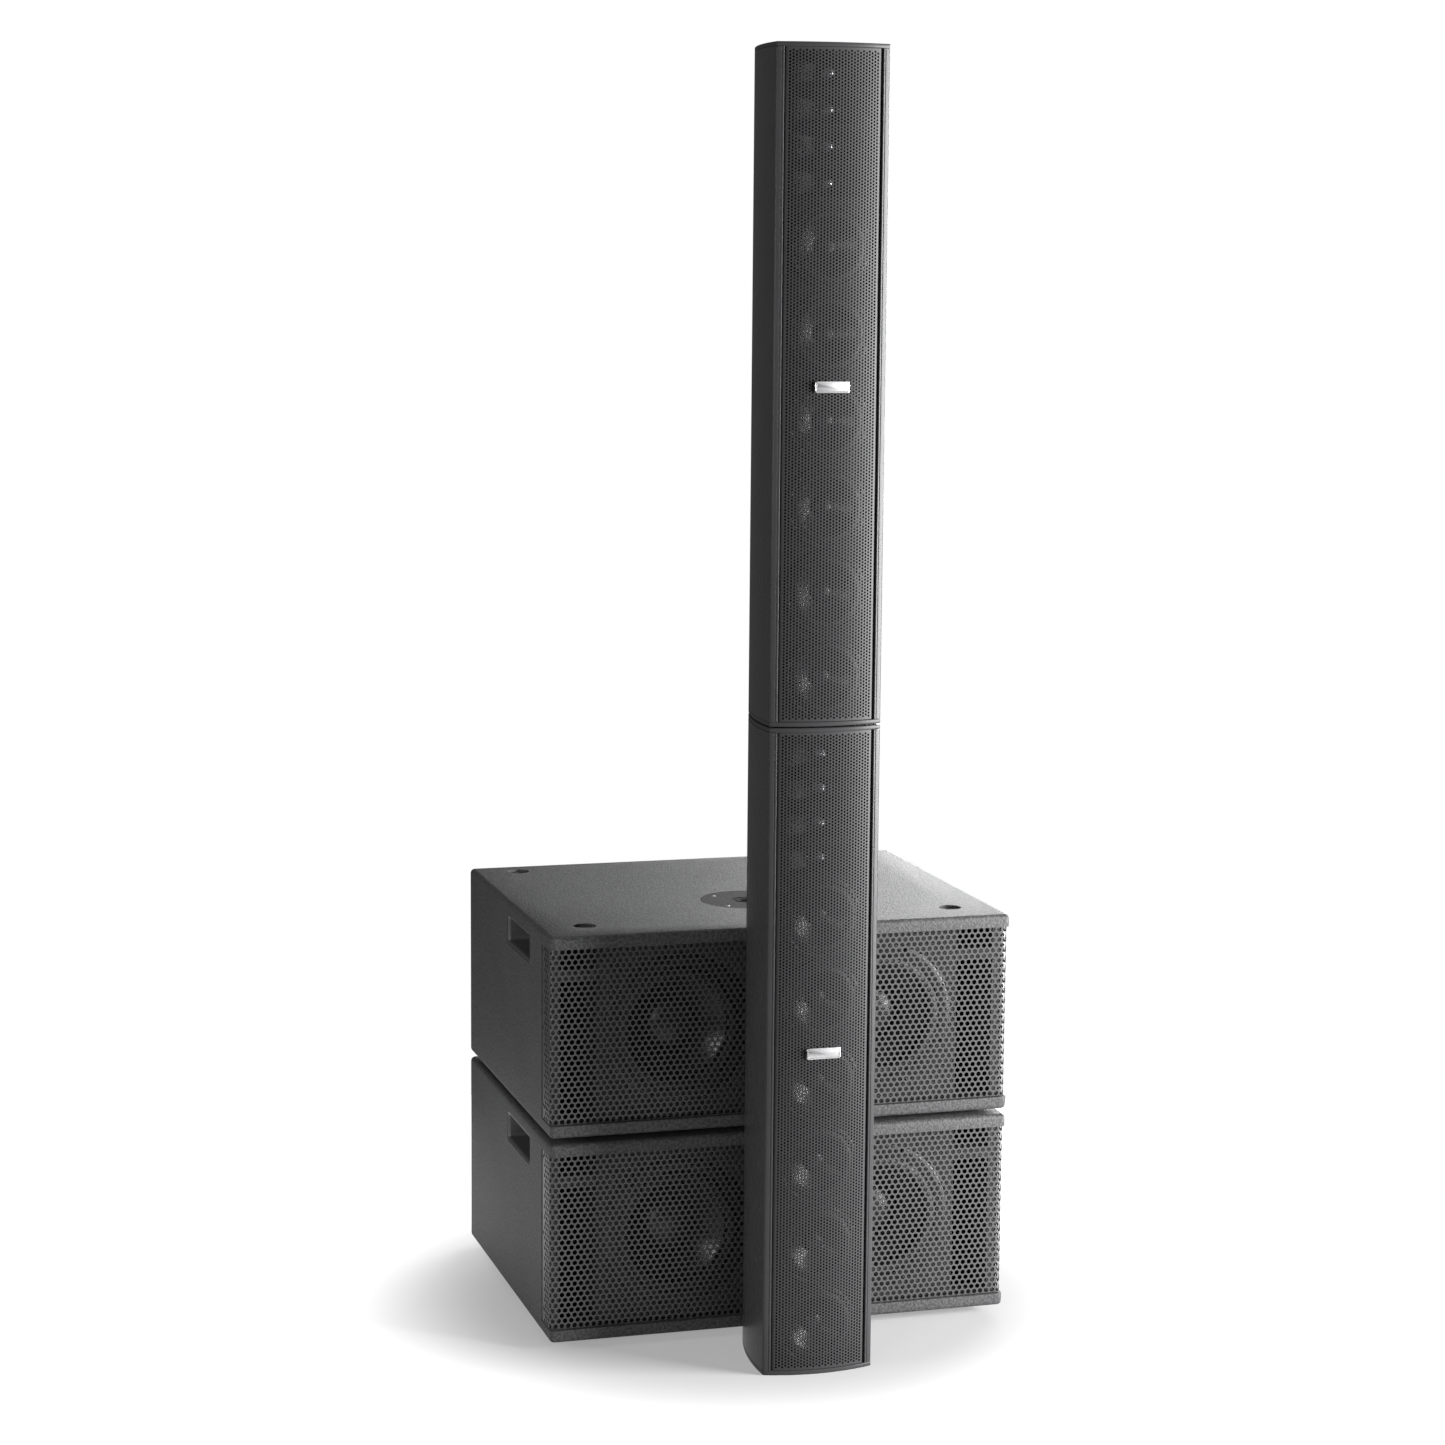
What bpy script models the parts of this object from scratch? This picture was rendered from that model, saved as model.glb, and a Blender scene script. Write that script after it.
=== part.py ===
"""Column PA system: a column loudspeaker made of two stacked units, in front of two stacked subwoofers.

Metres, +Z up, front towards -Y. The origin is the centre of the footprint, on the floor.
Each cabinet is built in its own coordinates: x from its middle, y back from its front, z up from its base.
"""

import math

import bmesh
import bpy
from mathutils import Matrix, Vector

GAP = 0.0003  # left between pieces that touch

# Column unit
COLUMN_WIDTH = 0.156
COLUMN_DEPTH = 0.165  # from the front corners to the flat back
FRONT_BOW = 0.010  # how far the middle of the front stands ahead of its corners
UNIT_HEIGHT = 0.899
SEAM = 0.002  # between the two stacked units
CAP = 0.006
WALL = 0.003
RAIL_WIDTH = 0.010
RAIL_DEPTH = 0.022
OPENING_HALF = COLUMN_WIDTH / 2 - RAIL_WIDTH
SIDE_RADIUS = 0.417  # the sides are shallow arcs
SIDE_CENTRE_Y = 0.035
BACK_CORNER = 0.018
COLUMN_GRILLE_STEEL = 0.0012
COLUMN_GRILLE_SETBACK = 0.0025
COLUMN_BAFFLE_Y = (0.012, 0.020)
WOOFER_COUNT = 6
FIRST_WOOFER_Z = 0.0632
WOOFER_PITCH = 0.1146
TWEETER_COUNT = 4
FIRST_TWEETER_Z = 0.718
TWEETER_PITCH = 0.0475
REAR_PANEL_HALF = 0.041
REAR_PANEL_Z = (0.060, 0.868)
FINS_TOP = 0.590
FIN_COUNT = 9
FIN_DEPTH = 0.011
CAP_SCREW_SPOTS = ((-0.0730, 0.0120), (0.0730, 0.0120), (-0.0568, 0.1534), (0.0568, 0.1534))
PIN_SPOT = (0.040, 0.095)
PIN_RADIUS = 0.006
PIN_RISE = 0.034

# Subwoofer
SUB_WIDTH = 0.676
SUB_DEPTH = 0.534
SUB_HEIGHT = 0.286
SUB_HALF = SUB_WIDTH / 2
PLY = 0.018
ROUND_OVER = 0.004
SUB_BAFFLE_Y = (0.022, 0.040)
SUB_WOOFER_X = 0.149
SUB_FRAME_RADIUS = 0.107
SUB_FRAME_REBATE = 0.003
SUB_WOOFER_HOLE = 0.0935
SUB_DRIVER_STEPS = 20  # sides of the round shapes of a woofer and its hole
PORT_WIDTH = 0.054
PORT_END_Y = 0.300
PORT_BOARD = 0.008
PORT_BAR_Z = (0.219, 0.234)
SUB_GRILLE_Y = 0.007
SUB_GRILLE_STEEL = 0.0015
SUB_GRILLE_BEND = 0.006
FLANGE_INSET = 0.001  # from the cabinet's side to the grille's folded edge
FLANGE_END_Y = 0.054
SIDE_REBATE = 0.003
HANDLE_Y = (0.130, 0.270)
HANDLE_Z = (0.2255, 0.2640)
HANDLE_DEPTH = 0.050
CUP_WALL = 0.0025
FOOT_HEIGHT = 0.012
FOOT_RADIUS = 0.014
FOOT_RECESS = 0.004
FOOT_SPOTS = ((-0.272, 0.070), (0.272, 0.070), (-0.272, 0.490), (0.272, 0.490))
POLE_PLATE_Y = 0.197
POLE_PLATE_RADIUS = 0.065
POLE_PLATE_STEEL = 0.003
POLE_HUB_RADIUS = 0.0185
POLE_HOLE_RADIUS = 0.010
POLE_HOLE_DEPTH = 0.034
AMP_PANEL_HALF = 0.125
AMP_PANEL_Z = (0.035, 0.251)
AMP_WINDOW_MARGIN = 0.010
AMP_STEEL = 0.003
AMP_FACE_Y = SUB_DEPTH - PLY - GAP

# Controls, as (x, z) on a rear panel
COLUMN_SOCKETS = (
    ((-0.019, 0.842), False),
    ((0.019, 0.842), True),
    ((-0.019, 0.705), False),
    ((0.019, 0.705), False),
)
COLUMN_KNOB = (0.0, 0.797)
COLUMN_SWITCH = (0.0, 0.652)
SUB_SOCKETS = (
    ((-0.035, 0.190), False),
    ((0.010, 0.190), True),
    ((-0.035, 0.090), False),
    ((0.010, 0.090), False),
)
SUB_KNOB = (-0.085, 0.190)
SUB_SWITCH = (0.075, 0.075)
SOCKET_HOLE = 0.0124
SHAFT_HOLE = 0.0037
SWITCH_HOLE = (0.0070, 0.0110)  # half width, half height
BOARD_DEPTH = 0.022  # from a rear panel's face to the back of its socket board

# Arrangement
CLEARANCE = 0.006  # between the column's back and the subwoofers' front
TOTAL_DEPTH = SUB_DEPTH + CLEARANCE + COLUMN_DEPTH + FRONT_BOW
SUB_FRONT_Y = TOTAL_DEPTH / 2 - SUB_DEPTH
COLUMN_FRONT_Y = SUB_FRONT_Y - CLEARANCE - COLUMN_DEPTH
UPPER_UNIT_Z = UNIT_HEIGHT + SEAM
LOWER_SUB_Z = FOOT_HEIGHT
UPPER_SUB_Z = LOWER_SUB_Z + SUB_HEIGHT - FOOT_RECESS + FOOT_HEIGHT

# Turned profiles, as (radius, y) round a driver's axis
COLUMN_BASKET = (
    (0, 0.064), (0.036, 0.064), (0.036, 0.045), (0.0530, 0.024), (0.0530, 0.0124), (0.0565, 0.0124),
    (0.0565, 0.0080), (0.0505, 0.0080), (0.0495, 0.018), (0.028, 0.044), (0, 0.044),
)  # fmt: skip
COLUMN_CONE = (
    (0, 0.0200), (0.0120, 0.0235), (0.0130, 0.0275), (0.0385, 0.0125), (0.0430, 0.0065), (0.0480, 0.0105),
    (0.0480, 0.0120), (0.0390, 0.0150), (0.0135, 0.0305), (0, 0.0305),
)  # fmt: skip
SUB_BASKET = (
    (0, 0.150), (0.060, 0.150), (0.060, 0.118), (0.0925, 0.060), (0.0925, 0.0247), (0.1070, 0.0247),
    (0.1070, 0.0190), (0.0905, 0.0190), (0.0895, 0.0520), (0.052, 0.108), (0, 0.108),
)  # fmt: skip
SUB_CONE = (
    (0, 0.0480), (0.0260, 0.0520), (0.0360, 0.0620), (0.0720, 0.0290), (0.0800, 0.0185), (0.0885, 0.0255),
    (0.0885, 0.0275), (0.0730, 0.0340), (0.0370, 0.0740), (0, 0.0740),
)  # fmt: skip

# Points of an object along each axis, from its coordinate on that axis and the other two in order
AXES = {
    "X": lambda along, a, b: (along, a, b),
    "Y": lambda along, a, b: (a, along, b),
    "Z": lambda along, a, b: (a, b, along),
}

# Base colour, roughness, metallic
MATERIALS = {
    "anodised_aluminium": ((0.035, 0.035, 0.037), 0.35, 0.8),
    "powder_coat": ((0.022, 0.022, 0.023), 0.45, 0.3),
    "textured_paint": ((0.020, 0.020, 0.021), 0.65, 0.0),
    "cone_paper": ((0.018, 0.018, 0.018), 0.55, 0.0),
    "cast_basket": ((0.030, 0.030, 0.032), 0.50, 0.6),
    "moulded_plastic": ((0.015, 0.015, 0.016), 0.50, 0.0),
    "zinc_steel": ((0.550, 0.550, 0.560), 0.30, 1.0),
    "black_steel": ((0.040, 0.040, 0.042), 0.40, 0.9),
    "knob_plastic": ((0.080, 0.080, 0.085), 0.55, 0.0),
}


def clear_scene():
    for obj in list(bpy.data.objects):
        bpy.data.objects.remove(obj)


def material(name):
    found = bpy.data.materials.get(name)
    if found:
        return found
    colour, roughness, metallic = MATERIALS[name]
    made = bpy.data.materials.new(name)
    made.use_nodes = True
    shader = made.node_tree.nodes["Principled BSDF"]
    shader.inputs["Base Color"].default_value = (*colour, 1.0)
    shader.inputs["Roughness"].default_value = roughness
    shader.inputs["Metallic"].default_value = metallic
    return made


def place_at(name, location):
    """An empty that carries the pieces of one cabinet."""
    empty = bpy.data.objects.new(name, None)
    empty.location = location
    bpy.context.scene.collection.objects.link(empty)
    return empty


def mesh_of(name, data, finish=None):
    """Turns a bmesh of closed shapes into a mesh with its faces pointing out and its sharp edges kept."""
    bmesh.ops.recalc_face_normals(data, faces=data.faces)
    mesh = bpy.data.meshes.new(name)
    data.to_mesh(mesh)
    data.free()
    mesh.shade_smooth()
    mesh.set_sharp_from_angle(angle=math.radians(35))
    if finish:
        mesh.materials.append(material(finish))
    return mesh


def add(name, mesh, cabinet, spot=(0, 0, 0)):
    obj = bpy.data.objects.new(name, mesh)
    obj.parent = cabinet
    obj.location = spot
    bpy.context.scene.collection.objects.link(obj)
    return obj


def boolean(obj, operation, data):
    """Cuts or joins an object with a hidden tool, made from a bmesh in the object's own coordinates."""
    name = f"{obj.name}_tool_{len(obj.modifiers)}"
    tool = add(name, mesh_of(name, data), obj.parent, obj.location)
    tool.hide_render = True
    tool.display_type = "WIRE"
    modifier = obj.modifiers.new(operation.title(), "BOOLEAN")
    modifier.operation = operation
    modifier.object = tool


def prism(data, outline, along, axis):
    """Adds an outline extruded along an axis, whose two numbers are the other axes in order."""
    low, high = along
    point = AXES[axis]
    face = data.faces.new([data.verts.new(point(low, a, b)) for a, b in outline])
    grown = bmesh.ops.extrude_face_region(data, geom=[face])["geom"]
    moved = [item for item in grown if isinstance(item, bmesh.types.BMVert)]
    bmesh.ops.translate(data, verts=moved, vec=point(high - low, 0, 0))


def block(data, x, y, z):
    prism(data, [(x[0], y[0]), (x[1], y[0]), (x[1], y[1]), (x[0], y[1])], z, "Z")


def arc(centre, radius, start, end, steps):
    """Points on an arc between two angles, both ends included."""
    angles = [start + (end - start) * k / steps for k in range(steps + 1)]
    return [(centre[0] + radius * math.cos(a), centre[1] + radius * math.sin(a)) for a in angles]


def disc(data, centre, radius, along, axis, steps):
    prism(data, arc(centre, radius, 0, 2 * math.pi, steps)[:-1], along, axis)


def turned(data, profile, steps, centre=(0, 0, 0), axis="Y"):
    """Adds a profile of (radius, along) points, starting and ending on the axis, spun round it."""
    point = AXES[axis]
    spot = Vector(centre)
    corners = [data.verts.new(spot + Vector(point(along, radius, 0))) for radius, along in profile]
    edges = [data.edges.new(pair) for pair in zip(corners, corners[1:])]
    bmesh.ops.spin(
        data,
        geom=corners + edges,
        cent=spot,
        axis=point(1, 0, 0),
        angle=2 * math.pi,
        steps=steps,
        use_merge=True,
    )
    bmesh.ops.remove_doubles(data, verts=data.verts, dist=1e-6)


def loft(data, rings):
    """Adds a closed solid through rings of equal length, with a face on the first and last."""
    rows = [[data.verts.new(point) for point in ring] for ring in rings]
    for row, following in zip(rows, rows[1:]):
        for k in range(len(row)):
            data.faces.new([row[k - 1], row[k], following[k], following[k - 1]])
    data.faces.new(rows[0])
    data.faces.new(rows[-1])


def square_ring(centre, half_x, half_z, y):
    """Eight points round a rectangle that faces Y, starting at a corner."""
    around = ((1, 1), (0, 1), (-1, 1), (-1, 0), (-1, -1), (0, -1), (1, -1), (1, 0))
    return [(centre[0] + half_x * a, y, centre[1] + half_z * b) for a, b in around]


def round_ring(centre, radius, y):
    """Eight points round a circle that faces Y, in line with square_ring."""
    corners = arc(centre, radius, math.pi / 4, 2 * math.pi, 7)
    return [(x, y, z) for x, z in corners]


def mirrored(points):
    """The same points on the other side of x = 0, in reverse order."""
    return [(-x, y) for x, y in reversed(points)]


# Column unit


def column_side(inset):
    """Right half of the column's outline, moved inwards by inset, from its front corner to its back."""
    reach = math.sqrt(SIDE_RADIUS**2 - SIDE_CENTRE_Y**2)
    side_centre = (COLUMN_WIDTH / 2 - reach, SIDE_CENTRE_Y)
    corner_y = COLUMN_DEPTH - BACK_CORNER
    rise = corner_y - SIDE_CENTRE_Y
    corner_x = side_centre[0] + math.sqrt((SIDE_RADIUS - BACK_CORNER) ** 2 - rise**2)
    tangent = math.atan2(rise, corner_x - side_centre[0])
    front = math.asin(-SIDE_CENTRE_Y / SIDE_RADIUS)
    side = arc(side_centre, SIDE_RADIUS - inset, front, tangent, 6)
    corner = arc((corner_x, corner_y), BACK_CORNER - inset, tangent, math.pi / 2, 3)
    return side + corner[1:]


def bowed_front(half_width, setback):
    """Points along the bowed front, set back from it, from -half_width to +half_width."""
    steps = 10
    radius = (OPENING_HALF**2 + FRONT_BOW**2) / (2 * FRONT_BOW)
    xs = [-half_width + 2 * half_width * k / steps for k in range(steps + 1)]
    return [(x, radius - FRONT_BOW - math.sqrt(radius**2 - x**2) + setback) for x in xs]


def woofer_heights():
    return [FIRST_WOOFER_Z + WOOFER_PITCH * k for k in range(WOOFER_COUNT)]


def tweeter_heights():
    return [FIRST_TWEETER_Z + TWEETER_PITCH * k for k in range(TWEETER_COUNT)]


def column_shell(name, cabinet):
    """Extruded aluminium body: front rails, sides and back in one section, with a window in the back."""
    outer = column_side(0)
    screw_boss_front = COLUMN_DEPTH - BACK_CORNER - 0.009
    wall = [p for p in column_side(WALL) if RAIL_DEPTH < p[1] < screw_boss_front]
    step = (wall[0][0] + WALL / 4, RAIL_DEPTH)
    boss_end = (REAR_PANEL_HALF + WALL, COLUMN_DEPTH - WALL)
    inner = [(OPENING_HALF, 0), (OPENING_HALF, RAIL_DEPTH), step, *wall, boss_end]
    outline = outer + mirrored(outer) + [(-x, y) for x, y in inner] + inner[::-1]
    data = bmesh.new()
    prism(data, outline, (CAP + GAP, UNIT_HEIGHT - CAP - GAP), "Z")
    shell = add(name, mesh_of(name, data, "anodised_aluminium"), cabinet)
    window = bmesh.new()
    half = REAR_PANEL_HALF + GAP
    block(
        window,
        (-half, half),
        (COLUMN_DEPTH - 2 * WALL, COLUMN_DEPTH + WALL),
        (REAR_PANEL_Z[0] - GAP, REAR_PANEL_Z[1] + GAP),
    )
    boolean(shell, "DIFFERENCE", window)


def column_cap(name, cabinet, base, pin_holes):
    """End plate that covers the whole section, screwed to the shell."""
    side = column_side(0)
    outline = bowed_front(OPENING_HALF, 0) + side + mirrored(side)
    data = bmesh.new()
    prism(data, outline, (base, base + CAP), "Z")
    cap = add(name, mesh_of(name, data, "anodised_aluminium"), cabinet)
    holes = bmesh.new()
    through = (base - CAP, base + 2 * CAP)
    for spot in CAP_SCREW_SPOTS:
        disc(holes, spot, 0.0022, through, "Z", 6)
    if pin_holes:
        for x in (-PIN_SPOT[0], PIN_SPOT[0]):
            disc(holes, (x, PIN_SPOT[1]), PIN_RADIUS + GAP, through, "Z", 10)
    boolean(cap, "DIFFERENCE", holes)


def column_driver_frame(name, cabinet):
    """Front board between the rails, with the frames and magnets of the six woofers fixed to it."""
    data = bmesh.new()
    half = OPENING_HALF - 2 * GAP
    block(data, (-half, half), COLUMN_BAFFLE_Y, (CAP + 2 * GAP, UNIT_HEIGHT - CAP - 2 * GAP))
    board = add(name, mesh_of(name, data, "cast_basket"), cabinet)
    holes = bmesh.new()
    through = (COLUMN_BAFFLE_Y[0] - WALL, COLUMN_BAFFLE_Y[1] + WALL)
    for z in woofer_heights():
        disc(holes, (0, z), 0.0515, through, "Y", 12)
    for z in tweeter_heights():
        block(holes, (-0.0560, 0.0560), through, (z - 0.0200, z + 0.0200))
    boolean(board, "DIFFERENCE", holes)
    frames = bmesh.new()
    for z in woofer_heights():
        turned(frames, COLUMN_BASKET, 12, (0, 0, z))
    boolean(board, "UNION", frames)


def column_grille(name, cabinet):
    """Bowed perforated sheet with its edges folded back. The perforation isn't cut."""
    half = OPENING_HALF - 4 * GAP
    front = bowed_front(half, COLUMN_GRILLE_SETBACK)
    back = bowed_front(half - COLUMN_GRILLE_STEEL, COLUMN_GRILLE_SETBACK + COLUMN_GRILLE_STEEL)
    fold_y = COLUMN_BAFFLE_Y[0] - 0.0035
    outline = [(-half, fold_y), *front, (half, fold_y), (half - COLUMN_GRILLE_STEEL, fold_y)]
    outline += [*back[::-1], (-half + COLUMN_GRILLE_STEEL, fold_y)]
    data = bmesh.new()
    prism(data, outline, (CAP + GAP, UNIT_HEIGHT - CAP - GAP), "Z")
    add(name, mesh_of(name, data, "powder_coat"), cabinet)


def column_cones(prefix, cabinet):
    """Six cones with their surrounds and coils, driven together."""
    data = bmesh.new()
    turned(data, COLUMN_CONE, 12)
    mesh = mesh_of(f"{prefix}_cone", data, "cone_paper")
    for number, z in enumerate(woofer_heights(), start=1):
        add(f"{prefix}_cone_{number}", mesh, cabinet, (0, 0, z))


def column_tweeters(name, cabinet):
    """Four horns with their drivers, side by side on two straps."""
    flange = (0.0085, 0.0117)
    data = bmesh.new()
    for z in tweeter_heights():
        centre = (0, z)
        loft(
            data,
            [
                round_ring(centre, 0.0125, 0.0360),
                square_ring(centre, 0.0520, 0.0185, flange[0]),
                square_ring(centre, 0.0630, 0.0232, flange[0]),
                square_ring(centre, 0.0630, 0.0232, flange[1]),
                square_ring(centre, 0.0550, 0.0195, flange[1]),
                square_ring(centre, 0.0550, 0.0195, 0.0230),
                round_ring(centre, 0.0190, 0.0400),
                round_ring(centre, 0.0190, 0.0650),
            ],
        )
    horns = add(name, mesh_of(name, data, "moulded_plastic"), cabinet)
    straps = bmesh.new()
    heights = tweeter_heights()
    for side in (-1, 1):
        spread = sorted((side * 0.0565, side * 0.0620))
        block(straps, spread, (flange[0] + 0.0008, flange[1] - 0.0008), (heights[0], heights[-1]))
    boolean(horns, "UNION", straps)


def column_rear_panel(name, cabinet):
    """Rear module: cooling fins below, a flat control plate above."""
    data = bmesh.new()
    base_y = COLUMN_DEPTH - FIN_DEPTH - WALL
    block(data, (-REAR_PANEL_HALF, REAR_PANEL_HALF), (base_y, COLUMN_DEPTH), REAR_PANEL_Z)
    panel = add(name, mesh_of(name, data, "powder_coat"), cabinet)
    cuts = bmesh.new()
    fin = 0.002
    pitch = (2 * REAR_PANEL_HALF - fin) / (FIN_COUNT - 1)
    for k in range(FIN_COUNT - 1):
        left = -REAR_PANEL_HALF + fin + pitch * k
        block(
            cuts,
            (left, left + pitch - fin),
            (COLUMN_DEPTH - FIN_DEPTH, COLUMN_DEPTH + WALL),
            (REAR_PANEL_Z[0] - WALL, FINS_TOP),
        )
    pocket_half = REAR_PANEL_HALF + WALL
    block(
        cuts,
        (-pocket_half, pocket_half),
        (base_y - WALL, COLUMN_DEPTH - WALL),
        (FINS_TOP + WALL, REAR_PANEL_Z[1] + WALL),
    )
    boolean(panel, "DIFFERENCE", cuts)
    boolean(panel, "DIFFERENCE", control_holes(COLUMN_SOCKETS, COLUMN_KNOB, COLUMN_SWITCH, COLUMN_DEPTH))


def coupling_pins(prefix, cabinet):
    """Two shouldered pins in the lower unit's top plate, on which the upper unit sits."""
    shaft = PIN_RADIUS - GAP
    low = UNIT_HEIGHT - 0.020
    collar = (UNIT_HEIGHT + GAP, UNIT_HEIGHT + SEAM - GAP)
    tip = collar[1] + PIN_RISE
    profile = (
        (0, low), (shaft, low), (shaft, collar[0]), (0.0090, collar[0]), (0.0090, collar[1]),
        (shaft, collar[1]), (shaft, tip - 0.004), (0.0035, tip), (0, tip),
    )  # fmt: skip
    data = bmesh.new()
    turned(data, profile, 10, axis="Z")
    mesh = mesh_of("coupling_pin", data, "zinc_steel")
    add(f"{prefix}_left_pin", mesh, cabinet, (-PIN_SPOT[0], PIN_SPOT[1], 0))
    add(f"{prefix}_right_pin", mesh, cabinet, (PIN_SPOT[0], PIN_SPOT[1], 0))


def column_unit(prefix, height, pin_end):
    cabinet = place_at(f"{prefix}_place", (0, COLUMN_FRONT_Y, height))
    column_shell(f"{prefix}_shell", cabinet)
    column_cap(f"{prefix}_bottom_cap", cabinet, 0, pin_end == "bottom")
    column_cap(f"{prefix}_top_cap", cabinet, UNIT_HEIGHT - CAP, pin_end == "top")
    column_driver_frame(f"{prefix}_driver_frame", cabinet)
    column_grille(f"{prefix}_grille", cabinet)
    column_cones(prefix, cabinet)
    column_tweeters(f"{prefix}_tweeter_array", cabinet)
    column_rear_panel(f"{prefix}_rear_panel", cabinet)
    socket_board(f"{prefix}_socket_board", cabinet, COLUMN_SOCKETS, COLUMN_DEPTH)
    level_knob(f"{prefix}_level_knob", cabinet, COLUMN_KNOB, COLUMN_DEPTH)
    power_switch(f"{prefix}_power_switch", cabinet, COLUMN_SWITCH, COLUMN_DEPTH)
    return cabinet


# Controls, shared by both kinds of cabinet


def control_holes(sockets, knob, switch, face_y):
    """Holes through a rear panel for its sockets, the knob's shaft and the switch."""
    holes = bmesh.new()
    through = (face_y - 3 * WALL, face_y + WALL)
    for spot, _ in sockets:
        disc(holes, spot, SOCKET_HOLE, through, "Y", 8)
    disc(holes, knob, SHAFT_HOLE, through, "Y", 8)
    half_width, half_height = SWITCH_HOLE
    block(
        holes,
        (switch[0] - half_width, switch[0] + half_width),
        through,
        (switch[1] - half_height, switch[1] + half_height),
    )
    return holes


def socket_board(name, cabinet, sockets, face_y):
    """Circuit board behind a rear panel, with the sockets that stand on it. An open one has a cup for a plug."""
    outside = face_y + GAP + 0.002
    board = (face_y - BOARD_DEPTH, face_y - BOARD_DEPTH + 0.0016)
    data = bmesh.new()
    for spot, is_open in sockets:
        rings = [
            square_ring(spot, 0.0130, 0.0155, outside),
            square_ring(spot, 0.0130, 0.0155, face_y + GAP),
            round_ring(spot, SOCKET_HOLE - 0.0009, face_y + GAP),
            round_ring(spot, SOCKET_HOLE - 0.0009, board[0] + 0.0006),
        ]
        if is_open:
            rings = [round_ring(spot, 0.0098, outside - 0.0110), round_ring(spot, 0.0098, outside), *rings]
        loft(data, rings)
    obj = add(name, mesh_of(name, data, "moulded_plastic"), cabinet)
    margin = 0.016
    xs = [spot[0] for spot, _ in sockets]
    zs = [spot[1] for spot, _ in sockets]
    plate = bmesh.new()
    block(plate, (min(xs) - margin, max(xs) + margin), board, (min(zs) - margin, max(zs) + margin))
    boolean(obj, "UNION", plate)


def level_knob(name, cabinet, spot, face_y):
    """Level knob with its shaft and a raised pointer."""
    data = bmesh.new()
    profile = ((0, 0.0130), (0.0070, 0.0130), (0.0085, 0.0015), (0.0030, 0.0010), (0.0030, -0.0110), (0, -0.0110))
    turned(data, profile, 12)
    knob = add(name, mesh_of(name, data, "knob_plastic"), cabinet, (spot[0], face_y, spot[1]))
    pointer = bmesh.new()
    block(pointer, (-0.0006, 0.0006), (0.0120, 0.0136), (0.0015, 0.0063))
    boolean(knob, "UNION", pointer)


def power_switch(name, cabinet, spot, face_y):
    """Rocker of a mains switch, lying in its off position on a level axis at the panel's face."""
    section = ((0.0030, -0.0090), (0.0010, 0.0), (0.0030, 0.0090), (-0.0060, 0.0070), (-0.0060, -0.0070))
    data = bmesh.new()
    prism(data, section, (-0.0060, 0.0060), "X")
    tilt = Matrix.Rotation(math.radians(7), 3, "X")
    bmesh.ops.rotate(data, verts=data.verts, cent=(0, 0, 0), matrix=tilt)
    add(name, mesh_of(name, data, "moulded_plastic"), cabinet, (spot[0], face_y, spot[1]))


# Subwoofer

BOARDS_Z = (PLY, SUB_HEIGHT - PLY)  # between the bottom board and the top board
BETWEEN_Z = (PLY + GAP, SUB_HEIGHT - PLY - GAP)
SIDE_BOARD_X = SUB_HALF - PLY
PORT_X = SIDE_BOARD_X - PORT_WIDTH


def grille_recess():
    """The front of the cabinet, open between the top and bottom boards and round both sides."""
    side = SUB_HALF - SIDE_REBATE
    front = SUB_BAFFLE_Y[0]
    end = FLANGE_END_Y + GAP
    right = [(side, front), (side, end), (SUB_WIDTH, end), (SUB_WIDTH, -PLY)]
    data = bmesh.new()
    prism(data, right + mirrored(right), BOARDS_Z, "Z")
    return data


def cabinet_room():
    """The air inside the cabinet, with the two slot ports that lead out of its front."""
    board_x = PORT_X - PORT_BOARD
    front = SUB_BAFFLE_Y[0] - WALL
    right = [
        (board_x, SUB_BAFFLE_Y[1]),
        (board_x, PORT_END_Y),
        (PORT_X, PORT_END_Y),
        (PORT_X, front),
        (SIDE_BOARD_X, front),
        (SIDE_BOARD_X, SUB_DEPTH - PLY),
    ]
    data = bmesh.new()
    prism(data, right + mirrored(right), BOARDS_Z, "Z")
    return data


def driver_holes():
    """Two stepped holes in the front board, which the woofers' frames are let into."""
    front, back = SUB_BAFFLE_Y[0] - WALL, SUB_BAFFLE_Y[1] + WALL
    step = SUB_BAFFLE_Y[0] + SUB_FRAME_REBATE
    rim = SUB_FRAME_RADIUS + GAP
    profile = ((0, front), (rim, front), (rim, step), (SUB_WOOFER_HOLE, step), (SUB_WOOFER_HOLE, back), (0, back))
    data = bmesh.new()
    for x in (-SUB_WOOFER_X, SUB_WOOFER_X):
        turned(data, profile, SUB_DRIVER_STEPS, (x, 0, SUB_HEIGHT / 2))
    return data


def side_and_rear_holes():
    """Holes for the two handle cups, and the window for the amplifier's panel."""
    data = bmesh.new()
    room = CUP_WALL + GAP
    for side in (-1, 1):
        spread = sorted((side * (SIDE_BOARD_X - WALL), side * (SUB_HALF + WALL)))
        block(data, spread, (HANDLE_Y[0] - room, HANDLE_Y[1] + room), (HANDLE_Z[0] - room, HANDLE_Z[1] + room))
    half = AMP_PANEL_HALF - AMP_WINDOW_MARGIN
    low, high = AMP_PANEL_Z
    block(
        data,
        (-half, half),
        (SUB_DEPTH - PLY - WALL, SUB_DEPTH + WALL),
        (low + AMP_WINDOW_MARGIN, high - AMP_WINDOW_MARGIN),
    )
    return data


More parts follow.
